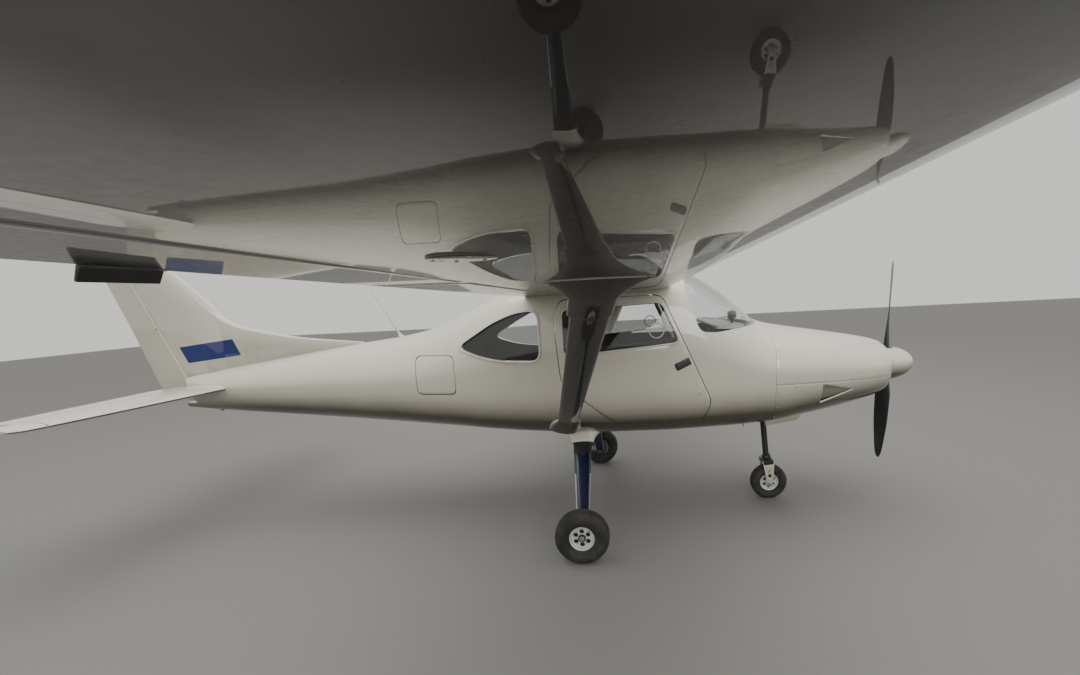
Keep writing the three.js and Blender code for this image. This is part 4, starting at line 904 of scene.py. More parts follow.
def underside(x, y, drop):
    """A point below the wing's lower skin by a drop."""
    share = (WING_LEADING_X - x) / WING_CHORD
    height = camber_line(share) - airfoil_half(share)
    return Vector((x, y, wing_point(share, height, y).z - drop))


def cuff_form():
    """The sleeve round the strut's head, which spreads into a thin pointed flange on the wing."""
    along = (STRUT_TOP - STRUT_FOOT).normalized()
    middle_x, middle_y = STRUT_TOP.x - 0.012, STRUT_TOP.y - 0.022
    flange = []
    for ahead, across in ring_steps(64):
        lens = math.copysign(abs(across) ** 1.7, across) * FLANGE_HALF_WIDTH
        flange.append(underside(middle_x + ahead * FLANGE_HALF_LENGTH, middle_y - lens, FLANGE_THICKNESS))
    rings = []
    for u in between(0, 0.6, 8) + between(0.64, 1, 16):
        spread = max(0.0, (u - 0.62) / 0.38) ** 2.6
        centre = STRUT_FOOT.lerp(STRUT_TOP, CUFF_START + (CUFF_END - CUFF_START) * u)
        sleeve = stream_ring(centre, along, STRUT_CHORD * CUFF_LONG, STRUT_THICKNESS * CUFF_THICK, 64)
        rings.append([point.lerp(rim, spread) for point, rim in zip(sleeve, flange)])
    rings.append([point + ZENITH * (FLANGE_THICKNESS + 0.004) for point in rings[-1]])
    return skin_over(rings)


def make_struts():
    # The foot is its own piece with the body's gelcoat; the arm and cuff take the wing's gelcoat, whose
    # painted shade is darker
    foot = strut_form(between(0, 0.085, 10), "strut_foot_left")
    dress_pair(carve(foot, cabin_form(0.1)), "airframe", GELCOAT)
    arm = strut_form(between(0.0852, 0.1, 3) + between(0.15, 0.93, 12))
    strut = gathered("strut_skin_left", [arm, soften(cuff_form(), 0.001, 60)])
    dress_pair(strut, "airframe", WING_GELCOAT, "strut_left")


# Tail


def rudder_axis_at(z):
    along = (RUDDER_HINGE_HIGH - RUDDER_HINGE_LOW).normalized()
    return RUDDER_HINGE_LOW + along * (z - RUDDER_HINGE_LOW.z) / along.z


def rudder_height_share(z):
    return (z - RUDDER_FOOT_Z) / (FIN_HORN_Z - RUDDER_FOOT_Z)


def rudder_nose(low, high, gap=0.0):
    radii = [0.028 - 0.007 * rudder_height_share(z) + gap for z in (low, high)]
    return rod(rudder_axis_at(low), rudder_axis_at(high), *radii, sides=48)


def behind_rudder_hinge():
    low, high = rudder_axis_at(0.992), rudder_axis_at(2.5)
    return side_plate([(low.x, 0.992), (high.x, 2.5), (-3.6, 2.5), (-3.6, 0.992)], -0.3, 0.3)


# z, leading edge, trailing edge, thickness
FIN_STATIONS = [
    (1.000, -2.010, -2.885, 0.084),
    (1.200, -2.050, -2.945, 0.086),
    (1.620, -2.190, -3.060, 0.084),
    (2.205, -2.715, -3.240, 0.058),
    (2.290, -2.800, -3.268, 0.044),
    (2.325, -2.900, -3.275, 0.016),
]
# x, foot, top, thickness
DORSAL_STATIONS = [
    (-2.420, 1.240, 1.880, 0.066),
    (-2.330, 1.240, 1.785, 0.062),
    (-2.250, 1.250, 1.714, 0.058),
    (-2.190, 1.260, 1.670, 0.054),
    (-2.100, 1.270, 1.624, 0.048),
    (-1.950, 1.287, 1.580, 0.042),
    (-1.600, 1.330, 1.505, 0.030),
    (-1.060, 1.405, 1.440, 0.016),
]
# y, leading edge, trailing edge, thickness
TAIL_STATIONS = [
    (0.000, -2.195, -2.890, 0.064),
    (1.300, -2.350, -2.872, 0.050),
    (1.405, -2.372, -2.866, 0.040),
    (1.445, -2.430, -2.850, 0.020),
]


def tapered_form(stations, places, place_of, name="form"):
    """A plain tapered surface. place_of turns a station's place, x and height off its middle into a point."""
    row = table_row(stations)
    ribs = []
    for place in places:
        front, rear, thickness = row(abs(place))
        chord = front - rear
        shape = airfoil(thickness / chord)
        ribs.append([Vector(place_of(place, front - s * chord, h * chord)) for s, h in shape])
    return skin_over(ribs, name)


def dorsal_form():
    row = table_row(DORSAL_STATIONS)
    ribs = []
    for x in between(-1.06, -2.42, 40):
        low, high, thickness = row(x)
        half = thickness / 2
        ring = [Vector((x, half * 1.6, low))]
        for angle in between(0, math.pi, 24):
            height = high - half * 1.4 + half * 1.1 * math.sin(angle)
            ring.append(Vector((x, half * math.cos(angle), height)))
        ribs.append(ring + [Vector((x, -half * 1.6, low))])
    return skin_over(ribs)


def fin_top_room(low):
    return block((-3.4, -0.1, low), (-2.5, 0.1, 2.4))


def make_fin():
    places = between(1.0, 2.205, 24) + [2.23, 2.25, 2.27, 2.285, 2.3, 2.31, 2.32, 2.325]
    fin = tapered_form(FIN_STATIONS, places, lambda z, x, out: (x, out, z), "fin_skin")
    rudder = copy_of(fin, "rudder_skin")
    fuse(fin, dorsal_form())
    nose_room = rudder_nose(RUDDER_FOOT_Z - 0.08, FIN_HORN_Z + 0.06, RUNNING_GAP)
    boom = hull(-0.9, BOOM_END_X, 0.004, 0.06)
    carve(fin, behind_rudder_hinge(), nose_room, fin_top_room(FIN_HORN_Z - RUNNING_GAP), boom)
    dress(soften(fin, 0.001), "airframe", FIN_GELCOAT, "fin")

    horn = trim_to(copy_of(rudder), fin_top_room(FIN_HORN_Z))
    trim_to(rudder, behind_rudder_hinge())
    fuse(rudder, rudder_nose(RUDDER_FOOT_Z, FIN_HORN_Z - 2 * RUNNING_GAP), horn)
    carve(rudder, block((-3.4, -0.2, 0.8), (-2.3, 0.2, RUDDER_FOOT_Z)))
    dress(soften(rudder, 0.0012), "rudder", GELCOAT, "rudder")


def elevator_nose(reach, gap=0.0):
    radii = [0.028 - 0.0038 * y / HORN_INNER_Y + gap for y in (0, reach)]
    middle = (ELEVATOR_HINGE_X, 0, TAIL_Z)
    return [rod(middle, (ELEVATOR_HINGE_X, side * reach, TAIL_Z), *radii, sides=48) for side in (1, -1)]


def behind_elevator_hinge():
    return block((-3.1, -1.5, 1.0), (ELEVATOR_HINGE_X, 1.5, 1.25))


def make_level_tail():
    places = between(0, 1.3, 18)[1:] + [1.33, 1.36, 1.385, 1.405, 1.42, 1.432, 1.44, 1.445]
    places = [-place for place in reversed(places)] + [0.0] + places
    stabilizer = tapered_form(TAIL_STATIONS, places, lambda y, x, up: (x, y, TAIL_Z + up), "stabilizer_skin")
    elevator = copy_of(stabilizer)
    horns = []
    carve(stabilizer, behind_elevator_hinge(), *elevator_nose(1.495, RUNNING_GAP))
    inner, outer = HORN_INNER_Y + RUNNING_GAP, 1.5
    for side in (1, -1):
        low, high = (-3.1, inner - RUNNING_GAP, 1.0), (-2.2, outer + RUNNING_GAP, 1.25)
        carve(stabilizer, side_block(side, low, high))
        horns.append(trim_to(copy_of(elevator), side_block(side, (-3.1, inner, 1.0), (-2.2, outer, 1.25))))
    trim_to(elevator, behind_elevator_hinge())
    fuse(elevator, *elevator_nose(HORN_INNER_Y + 0.02), *horns)
    inner = ELEVATOR_INNER_Y
    sweep = inner + 0.380 * math.tan(math.radians(28))
    half = [(-2.48, inner), (-2.62, inner), (-3.0, sweep)]
    outline = [(-2.48, -inner), *half, (-3.0, -sweep), (-2.62, -inner)]
    carve(elevator, plate(outline, lambda p: (*p, 0.98), (0, 0, 0.3)))
    ends = [(ELEVATOR_HINGE_X, side * (inner + 0.06), TAIL_Z) for side in (-1, 1)]
    elevator = gathered("elevator_skin", [elevator, rod(*ends, ELEVATOR_TUBE_RADIUS)])
    dress(soften(stabilizer, 0.001), "airframe", GELCOAT, "stabilizer")
    dress(soften(elevator, 0.001), "elevator", GELCOAT, "elevator")



# Cowl and propeller


def nose_ribs(wall):
    """The cowl's ribs, drawn in over its last stretch so that the nose is rounded."""
    ribs = [rib_at(x, wall) for x in between(FIREWALL_X + COWL_GAP, 2.95, 26)]
    for turn in between(0, math.pi / 2, 8)[1:]:
        drawn = 0.075 * (1 - math.cos(turn))
        ribs.append(rib_at(min(2.95 + 0.06 * math.sin(turn), COWL_FRONT_X), wall + drawn * 0.55))
    return [[Vector((min(p.x, COWL_FRONT_X - wall), p.y, p.z)) for p in rib] for rib in ribs]


def on_thrust_line(start_x, end_x, radius, end_radius=None, **settings):
    return rod((start_x, 0, THRUST_Z), (end_x, 0, THRUST_Z), radius, end_radius, **settings)


def make_cowl():
    skin = skin_over(nose_ribs(0.0))
    inner_ribs = nose_ribs(COWL_WALL)
    past_rear = [point - FORE * 0.02 for point in inner_ribs[0]]
    carve(skin, skin_over([past_rear, *inner_ribs]), on_thrust_line(2.95, 3.05, 0.06, sides=48))
    for side, _ in SIDES:
        inlet = rounded([(-0.075, -0.046), (0.075, -0.046), (0.075, 0.046), (-0.075, 0.046)], 0.042)
        carve(
            skin,
            front_plate([(p[0] + side * 0.175, p[1] + 1.1) for p in inlet], 2.9, 3.06),
            side_plate(rounded(COWL_EXIT, EXIT_ROUNDING), side * 0.3, side * 0.7),
        )
    carve(skin, block((FIREWALL_X - 0.01, -0.15, 0.6), (2.43, 0.15, 0.8)))
    upper = copy_of(skin)
    line = 0.0008
    carve(upper, block((2.0, -0.7, 0.5), (3.1, 0.7, COWL_SPLIT_Z + line)))
    carve(skin, block((2.0, -0.7, COWL_SPLIT_Z - line), (3.1, 0.7, 1.6)))
    for piece, node in ((upper, "cowl_upper"), (skin, "cowl_lower")):
        dress(named(soften(piece, 0.0015), f"{node}_skin"), "airframe", GELCOAT, node)


# Radius, chord, thickness, blade angle in degrees
BLADE_STATIONS = [
    (0.040, 0.062, 0.052, 60),
    (0.140, 0.084, 0.034, 46),
    (0.260, 0.118, 0.018, 35),
    (0.420, 0.124, 0.012, 26),
    (0.600, 0.100, 0.009, 20),
    (0.720, 0.066, 0.007, 17),
    (0.762, 0.026, 0.004, 16),
]


def blade_form(direction):
    row = table_row(BLADE_STATIONS)
    ribs = []
    for radius in between(0.04, 0.72, 34) + [0.735, 0.745, 0.752, 0.758, 0.762]:
        chord, thickness, angle = row(radius)
        forward, sideways = math.sin(math.radians(angle)), math.cos(math.radians(angle))
        ring = []
        for across, through in ring_steps(40):
            across, through = across * chord / 2, through * thickness / 2
            x, y = across * forward + through * sideways, across * sideways - through * forward
            ring.append(Vector((PROPELLER_X + x, y * direction, THRUST_Z + radius * direction)))
        ribs.append(ring)
    return skin_over(ribs)


def make_propeller():
    hub = on_thrust_line(PROPELLER_X - 0.028, PROPELLER_X + 0.028, 0.07, easing=0.003)
    propeller = gathered("propeller_blades", [blade_form(1), blade_form(-1), hub])
    dress(propeller, "propeller", DARK_BLADE, "propeller")

    length = NOSE_TIP_X - SPINNER_BACK_X
    profile = [(0.034, 0.0), (0.126, 0.0), (SPINNER_RADIUS, 0.004)]
    for share in between(0.03, 1.0, 26):
        profile.append((SPINNER_RADIUS * math.sqrt(max(0, 1 - share**2.2)), share * length))
    profile += [(0.0, length - 0.012), (0.034, 0.012)]
    dome = spun(profile, (SPINNER_BACK_X, 0, THRUST_Z), FORE, 72, "spinner_dome")
    for direction in (1, -1):
        low, high = sorted((direction * 0.06, direction * 0.17))
        corners = (PROPELLER_X - 0.036, -0.048, THRUST_Z + low), (PROPELLER_X + 0.036, 0.048, THRUST_Z + high)
        carve(dome, soften(block(*corners), 0.02, 50, 4))
    dress(soften(dome, 0.0012), "propeller", GELCOAT, "spinner")


# Undercarriage

# Share of the way from the rim to the tread, and share of the half width
TYRE_SHAPE = [
    (0.0, 0.62), (0.06, 0.70), (0.16, 0.82), (0.19, 0.845), (0.20, 0.875), (0.225, 0.89), (0.24, 0.885),
    (0.32, 0.945), (0.45, 1.0), (0.60, 0.985), (0.74, 0.92), (0.85, 0.82), (0.93, 0.70), (0.97, 0.58),
    (0.985, 0.47), (0.985, 0.42), (0.945, 0.41), (0.945, 0.36), (0.99, 0.35), (0.995, 0.24), (0.996, 0.16),
    (0.952, 0.15), (0.952, 0.10), (1.0, 0.09), (1.0, 0.0),
]
DISC_NEAR, DISC_FAR, DISC_RADIUS, DISC_HAT_RADIUS = 0.066, 0.071, 0.074, 0.040
BORE_PLAY = 0.0004


def wheel_middle(wheel):
    return Vector((wheel["x"], wheel["y"], wheel["radius"]))


def tyre_form(name, wheel):
    deep, half = wheel["radius"] - wheel["rim"], wheel["width"] / 2
    side = [(wheel["rim"] + along * deep, across * half) for along, across in TYRE_SHAPE]
    profile = side + [(radius, -across) for radius, across in reversed(side[:-1])]
    return spun(profile, wheel_middle(wheel), steps=96, name=name)


def washer_form(middle, inner, outer, low, high, steps=64, name="washer"):
    """A flat ring round a wheel's axle."""
    return spun([(inner, low), (outer, low), (outer, high), (inner, high)], middle, steps=steps, name=name)


def hub_form(name, wheel, hole_ring, hole_radius):
    """A cast wheel: two rim flanges, a pierced web with bolts, and a boss round the axle."""
    rim, axle, half = wheel["rim"], wheel["axle"], 0.31 * wheel["width"]
    bore = axle + BORE_PLAY
    outer = [
        (bore, 0.80 * half), (axle + 0.009, 0.80 * half), (axle + 0.013, 0.66 * half),
        (rim - 0.016, 0.62 * half), (rim - 0.010, 0.80 * half), (rim - 0.007, half),
        (rim - 0.002, 1.06 * half), (rim, 0.98 * half),
    ]
    inner = [
        (rim, -0.98 * half), (rim - 0.002, -1.06 * half), (rim - 0.007, -half),
        (rim - 0.012, -0.6 * half), (rim - 0.014, 0.42 * half), (axle + 0.017, 0.45 * half),
        (axle + 0.013, -0.5 * half), (bore, -0.5 * half),
    ]
    middle = wheel_middle(wheel)
    hub = spun(outer + inner, middle, steps=96)
    bolts = []
    for hole_turn, bolt_turn in zip(ring_steps(6, 0.5), ring_steps(6, 1.0)):
        foot = middle + Vector((hole_turn[0], 0, hole_turn[1])) * hole_ring
        carve(hub, rod(foot - PORT * 0.03, foot + PORT * 0.08, hole_radius))
        start = middle + Vector((bolt_turn[0], 0.0, bolt_turn[1])) * hole_ring + PORT * 0.6 * half
        bolts.append(rod(start, start + PORT * 0.006, 0.0045, sides=6))
    return gathered(name, [soften(hub, 0.0012), *bolts])


def make_main_wheels():
    wheel = MAIN_WHEEL
    middle, bore = wheel_middle(wheel), wheel["axle"] + BORE_PLAY
    hat = [(bore, -0.018), (DISC_HAT_RADIUS, -0.018), (DISC_HAT_RADIUS, -DISC_NEAR)]
    disc_profile = hat + [(DISC_RADIUS, -DISC_NEAR), (DISC_RADIUS, -DISC_FAR), (bore, -DISC_FAR)]
    seal = washer_form(middle, 0.0160, 0.0262, 0.022, 0.0335)
    # A dark ring behind the hub's holes, painted shade seen through them; it is joined to the seal
    shade = washer_form(middle, 0.030, 0.0715, 0.004, 0.007)
    valve_foot = middle + Vector((0.052, 0.024, 0.052))
    valve_end = valve_foot + Vector((-0.004, 0.016, -0.004))
    pieces = (
        (tyre_form("main_tyre_tread_left", wheel), RUBBER, "main_tyre_left"),
        (hub_form("main_wheel_casting_left", wheel, 0.0455, 0.0158), WHEEL_PAINT, "main_hub_left"),
        (soften(spun(disc_profile, middle, steps=96, name="brake_disc_left"), 0.0006), SHADED_IRON),
        (gathered("wheel_seal_left", [seal, shade]), SATIN_BLACK),
        (rod(valve_foot, valve_end, 0.0035, 0.0028, name="valve_left"), SATIN_BLACK),
    )
    for left, *look in pieces:
        dress_pair(left, "main_wheel_left", *look)


# y, z, width, thickness and x of the leg
LEG_STATIONS = [
    (0.330, 0.760, 0.138, 0.034, 0.735),
    (0.420, 0.672, 0.134, 0.033, 0.737),
    (0.640, 0.449, 0.112, 0.028, 0.745),
    (0.800, 0.276, 0.092, 0.025, 0.753),
    (0.912, 0.139, 0.078, 0.024, 0.761),
]
# y, z, length and thickness of the boot round the top of the main leg
BOOT_STATIONS = [
    (0.300, 0.752, 0.420, 0.150),
    (0.345, 0.722, 0.310, 0.118),
    (0.385, 0.698, 0.228, 0.088),
    (0.415, 0.674, 0.180, 0.064),
    (0.440, 0.6515, 0.160, 0.052),
]


def leg_form(grow=0.0, start=0.330, end=0.912, name="leg"):
    """The flat spring leg on the left: rounded flat sections, square to the leg's own run."""
    row = table_row(LEG_STATIONS)
    rings = []
    for y in between(start, end, 36):
        z, width, thickness, x = row(y)
        inner, outer = max(0.330, y - 0.01), min(0.912, y + 0.01)
        along = Vector((0, outer - inner, row(outer)[0] - row(inner)[0])).normalized()
        side = FORE.cross(along).normalized()
        ring = []
        for ahead, across in ring_steps(44, 0.5):
            ahead = math.copysign(abs(ahead) ** 0.6, ahead) * (width / 2 + grow)
            across = math.copysign(abs(across) ** 0.7, across) * (thickness / 2 + grow)
            ring.append(Vector((x, y, z)) + FORE * ahead + side * across)
        rings.append(ring)
    return skin_over(rings, name)


def boot_form():
    row = table_row(BOOT_STATIONS)
    along = Vector((0, 0.7, -0.7)).normalized()
    rings = []
    for y in between(0.300, 0.440, 16):
        z, chord, thickness = row(y)
        rings.append(stream_ring(Vector((0.7365 + 0.14 * chord, y, z)), along, chord, thickness))
    return skin_over(rings, "leg_boot_left")


def make_main_gear():
    x, y, z = wheel_middle(MAIN_WHEEL)
    flange_y = y - 0.097
    flange_room = block((x - 0.09, flange_y, z - 0.09), (x + 0.09, flange_y + 0.1, z + 0.06))
    leg = carve(leg_form(name="spring_leg_left"), cabin_form(), flange_room)
    boot = soften(carve(boot_form(), leg_form(0.0006), cabin_form()), 0.0015)
    sleeve = carve(leg_form(0.0022, 0.4415, 0.505, "leg_sleeve_left"), leg_form(0.0003))

    face = Vector((x, flange_y + 0.0004, z))
    axle_parts = [
        rod(face, face + PORT * 0.012, 0.034, easing=0.002),
        rod(face, (x, y + 0.044, z), MAIN_WHEEL["axle"]),
    ]
    for across, up in ring_steps(4, 0.5):
        foot = Vector((x + 0.025 * across, flange_y + 0.0122, z + 0.025 * up))
        axle_parts.append(rod(foot, foot + PORT * 0.006, 0.005, sides=6))
    axle = gathered("axle_and_flange_left", axle_parts)
    nut = rod((x, y + 0.0345, z), (x, y + 0.046, z), 0.0195, sides=6, easing=0.0015, name="axle_nut_left")

    caliper = block((x - 0.088, y - 0.090, z - 0.024), (x - 0.052, y - 0.056, z + 0.024))
    gap = 0.005
    slot_low = (x - DISC_RADIUS - gap, y - DISC_FAR - gap, z - 0.03)
    carve(caliper, block(slot_low, (x - 0.04, y - DISC_NEAR + gap, z + 0.03)))
    caliper_parts = [
        soften(caliper, 0.003, 50, 3),
        soften(block((x - 0.066, y - 0.0968, z - 0.014), (x - 0.02, y - 0.088, z + 0.014)), 0.002),
        rod((x - 0.072, y - 0.088, z), (x - 0.072, y - 0.100, z), 0.015, easing=0.002),
        rod((x - 0.078, y - 0.080, z + 0.02), (x - 0.078, y - 0.080, z + 0.034), 0.0035),
    ]
    dress_pair(leg, "airframe", SPRING_LEG, "gear_leg_left")
    dress_pair(boot, "airframe", GELCOAT, "leg_fairing_left")
    dress_pair(sleeve, "airframe", SATIN_BLACK)
    dress_pair(axle, "airframe", STEEL, "main_axle_left")
    dress_pair(nut, "airframe", CAST_METAL, slot="steel")
    dress_pair(gathered("caliper_left", caliper_parts), "airframe", CAST_METAL)


def raked(piece):
    """Leans a nose leg piece, drawn upright over the nose axle, back about that axle."""
    axle = wheel_middle(NOSE_WHEEL)
    lean = Matrix.Translation(axle) @ Matrix.Rotation(-NOSE_RAKE, 4, "Y") @ Matrix.Translation(-axle)
    return settle(piece, lean)


def make_nose_gear():
    wheel = NOSE_WHEEL
    x, y, z = wheel_middle(wheel)
    dress(tyre_form("nose_tyre_tread", wheel), "nose_wheel", RUBBER, "nose_tyre")
    turned_hub = hub_form("nose_wheel_turned", wheel, 0.0420, 0.0120)
    dress(on_other_side(turned_hub, "nose_wheel_casting"), "nose_wheel", WHEEL_PAINT, "nose_hub")
    discard(turned_hub)
    shade = washer_form((x, y, z), 0.024, 0.060, -0.010, -0.007, name="nose_hub_shade")
    dress(shade, "nose_wheel", SATIN_BLACK)

    plate_y, crown = wheel["width"] / 2 + 0.012, 0.170
    fork_bolt_height = 0.069
    outline = [(-0.047, crown + 0.026), (-0.0195, -0.023), (0.0195, -0.023), (0.047, crown + 0.026)]
    cheeks = []
    for side in (1, -1):
        near, far = side * plate_y, side * (plate_y + 0.009)
        cheek = side_plate([(x + a, z + b) for a, b in rounded(outline, 0.017, 8)], near, far)
        for height, radius in ((0.0, wheel["axle"] + BORE_PLAY), (fork_bolt_height, 0.0125), (0.105, 0.006)):
            start = Vector((x, near - side * 0.02, z + height))
            carve(cheek, rod(start, start + PORT * side * 0.06, radius, sides=48))
        cheeks.append(soften(cheek, 0.0018))
    dress(raked(gathered("fork_plates", cheeks)), "nose_steering", GELCOAT, "nose_fork")

    foot, head = crown - 0.006, crown + 0.030
    outline = [(-0.040, head), (-0.040, foot), (0.040, foot), (0.040, head)]
    width, inner = plate_y + 0.0095, plate_y - 0.012
    bridge = side_plate([(x + a, z + b) for a, b in rounded(outline, 0.008)], -width, width)
    carve(bridge, block((x - 0.1, -inner, z + 0.1), (x + 0.1, inner, z + crown + 0.008)))
    bolts = []
    for side in (1, -1):
        low, high = (x - 0.1, plate_y - 0.0002, z + 0.1), (x + 0.1, plate_y + 0.0092, z + crown + 0.0262)
        carve(bridge, side_block(side, low, high))
        spots = [(across, crown + 0.008, width, 0.006) for across in (0.022, -0.022)]
        for across, height, out, radius in [*spots, (0.0, fork_bolt_height, plate_y + 0.009, 0.0135)]:
            foot = Vector((x + across, side * out, z + height))
            bolts.append(rod(foot, foot + PORT * side * 0.005, radius, sides=6))
    soften(bridge, 0.002)
    collar_foot = Vector((x, 0, z + crown + 0.024))
    collar = rod(collar_foot, collar_foot + ZENITH * 0.036, 0.038, 0.034, easing=0.003)
    seat = rod((x, 0, z + crown + 0.02), (x, 0, z + crown + 0.12), 0.0234, sides=48)
    carve(collar, seat, keep=True)
    carve(bridge, seat)
    dress(raked(gathered("fork_crown", [bridge, collar, *bolts])), "nose_steering", SATIN_BLACK)

    tube = rod((x, 0, z + crown + 0.0204), (x, 0, z + 0.721), 0.023, sides=64)
    ring_foot = Vector((x, 0, z + crown + 0.062))
    ring = rod(ring_foot, ring_foot + ZENITH * 0.012, 0.0265, easing=0.002)
    dress(raked(gathered("nose_leg_tube", [tube, ring])), "nose_steering", SATIN_BLACK, "nose_leg")

    reach = plate_y + 0.016
    axle_parts = [rod((x, -reach, z), (x, reach, z), wheel["axle"], easing=0.0015)]
    for side in (1, -1):
        washer_y, nut_y, end_y = (side * (plate_y + out) for out in (0.0092, 0.0108, 0.018))
        sleeve_y = side * (0.31 * wheel["width"] * 0.82)
        axle_parts += [
            rod((x, washer_y, z), (x, nut_y, z), 0.0185),
            rod((x, nut_y, z), (x, end_y, z), 0.0155, sides=6, easing=0.001),
            rod((x, sleeve_y, z), (x, side * (plate_y - 0.0004), z), 0.0155),
        ]
    dress(raked(gathered("nose_axle_bolt", axle_parts)), "nose_steering", STEEL, "nose_axle")

    def leg_x(height):
        return x - (height - z) * math.tan(NOSE_RAKE)

    mount = block((FIREWALL_X + 0.0004, -0.048, 0.715), (leg_x(0.715) + 0.045, 0.048, 0.850), "leg_mount")
    carve(mount, rod((leg_x(0.6), 0, 0.6), (leg_x(0.9), 0, 0.9), 0.0234, sides=48))
    dress(soften(mount, 0.004, 50, 3), "airframe", SATIN_BLACK, "nose_gear_mount")


# Cabin and door details

LATCH_MIDDLE = Vector((1.466, 1.232))
LATCH_HALF_LENGTH, LATCH_HALF_HEIGHT = 0.055, 0.026
LOCK_X, LOCK_Z, VENT_X, VENT_Z = 1.575, 1.03, 1.294, 1.464
PANEL_FACE_X = 1.733
CARPET_INSET = CABIN_WALL + 0.004


def turned_box(middle, half_length, half_height, lean):
    """The four corners of a box that leans up towards the nose."""
    forward, upward = math.cos(lean), math.sin(lean)
    corners = []
    for along_sign, across_sign in ((-1, 1), (1, 1), (1, -1), (-1, -1)):
        along, across = along_sign * half_length, across_sign * half_height
        x, z = along * forward - across * upward, along * upward + across * forward
        corners.append((middle.x + x, middle.y + z))
    return corners


def window_lip(band, name, outline, width, radius, side):
    lip = side_piece(band, name, outline, width, radius + width * 0.6, side)
    return soften(carve(lip, side_cut(outline, 0.0002, radius, side)), 0.0016)


def make_window_lips():
    door_band = shell_band(1.62, 0.55, -0.0045, 0.0012)
    rear_band = shell_band(0.62, -0.22, -0.0065, 0.0012)
    for side, label in SIDES:
        opening = DOOR_WINDOW, 0.011, DOOR_WINDOW_ROUNDING, side
        dress(window_lip(door_band, f"door_window_lip_{label}", *opening), f"door_{label}", GELCOAT)
        opening = REAR_WINDOW, 0.014, REAR_WINDOW_ROUNDING, side
        dress(window_lip(rear_band, f"rear_window_lip_{label}", *opening), "airframe", GELCOAT)
    discard(door_band, rear_band)


def make_latches():
    plate_band = shell_band(1.60, 1.34, -0.0035, 0.002)
    paddle_band = shell_band(1.60, 1.34, -0.0075, 0.002)
    head, foot = DOOR_OUTLINE[:2]
    lean = math.atan2(foot[0] - head[0], head[1] - foot[1])
    plate_outline = turned_box(LATCH_MIDDLE, LATCH_HALF_LENGTH, LATCH_HALF_HEIGHT, lean)
    paddle_outline = turned_box(LATCH_MIDDLE, LATCH_HALF_LENGTH - 0.009, LATCH_HALF_HEIGHT - 0.007, lean)
    for side, label in SIDES:
        base = soften(side_piece(plate_band, "latch", plate_outline, 0.0, 0.011, side), 0.0012)
        paddle = soften(side_piece(paddle_band, "paddle", paddle_outline, 0.0, 0.007, side), 0.0018, 50, 3)
        latch = gathered(f"door_latch_{label}", [base, paddle])
        dress(latch, f"door_{label}", SATIN_BLACK, f"door_handle_{label}")
        near, far = (side * (skin_y(LOCK_X, LOCK_Z) + out) for out in (-0.002, 0.0025))
        lock = rod((LOCK_X, near, LOCK_Z), (LOCK_X, far, LOCK_Z), 0.0085, name=f"door_lock_{label}")
        dress(soften(lock, 0.0008), f"door_{label}", STEEL)
    discard(plate_band, paddle_band)


def make_vents():
    """The round ventilation ring set in each door's pane."""
    band = shell_band(1.42, 1.18, 0.0005, 0.0115)
    for side, label in SIDES:
        ends = (VENT_X, side * 0.3, VENT_Z), (VENT_X, side * 0.72, VENT_Z)
        ring = trim_to(copy_of(band, f"vent_ring_{label}"), rod(*ends, 0.0520, sides=64))
        carve(ring, rod(*ends, 0.0450, sides=64))
        dress(soften(ring, 0.0015), f"door_{label}", PALE_TRIM)
    discard(band)


def make_linings():
    """The trim inside the cabin and the doors."""
    depth = CABIN_WALL + 0.0005
    wall = shell_band(FIREWALL_X - 0.03, CABIN_REAR_X + 0.03, depth, depth + 0.003, name="cabin_lining")
    door_wall = copy_of(wall)
    for side, _ in SIDES:
        carve(
            wall,
            side_cut(DOOR_OUTLINE, 0.012, DOOR_ROUNDING, side),
            side_cut(REAR_WINDOW, 0.003, REAR_WINDOW_ROUNDING, side),
        )
    carve(wall, side_cut(HATCH_OUTLINE, 0.012, HATCH_ROUNDING), windscreen_cut(0.004))
    dress(wall, "airframe", LINING)
    low_window = [(1.322, 1.640), (1.4235, 1.408), (0.668, 1.352), (0.668, 1.620)]
    for side, label in SIDES:
        trim = side_piece(door_wall, f"door_trim_{label}", DOOR_OUTLINE, -0.022, DOOR_ROUNDING, side)
        dress(carve(trim, side_cut(low_window, 0.0, 0.03, side)), f"door_{label}", TRIM)
    discard(door_wall)


def make_cabin_floor():
    for name, low, high, finish in (
        ("cabin_carpet", (-0.57, -0.6, 0.712), (2.055, 0.6, 0.722), CARPET),
        ("rear_bulkhead", (-0.572, -0.6, 0.6), (-0.562, 0.6, 1.8), LINING),
    ):
        sheet = trim_to(block(low, high, name), hull(2.07, -0.59, CARPET_INSET, 0.05))
        dress(soften(sheet, 0.002), "airframe", finish)


def dial(y, z, radius, marks, needle_turn):
    """A generic round dial that faces the seats: its bezel and dark face, then its marks and needle."""
    face = Vector((PANEL_FACE_X, y, z))

    def hand(near, half_width, low, high, turn):
        corner = Vector((near, half_width, low * radius))
        bar = block(face - corner, face + Vector((0.001 - near, half_width, high * radius)))
        to_face = Matrix.Translation(face)
        return settle(bar, to_face @ Matrix.Rotation(turn, 4, "X") @ to_face.inverted())

    rim = [(0.86, 0.0), (1.0, 0.0), (1.0, 0.005), (0.94, 0.007), (0.86, 0.004)]
    bezel = spun([(radius * share, height) for share, height in rim], face, (-1, 0, 0), 40)
    disc = rod(face + FORE * 0.002, face - FORE * 0.0008, radius * 0.88, sides=40)
    pale = [hand(0.0016, 0.0007, -0.66, 0.82, k / marks * FULL_TURN) for k in range(marks)]
    return [bezel, disc], [*pale, hand(0.0026, 0.001, 0.15, 0.6, needle_turn)]


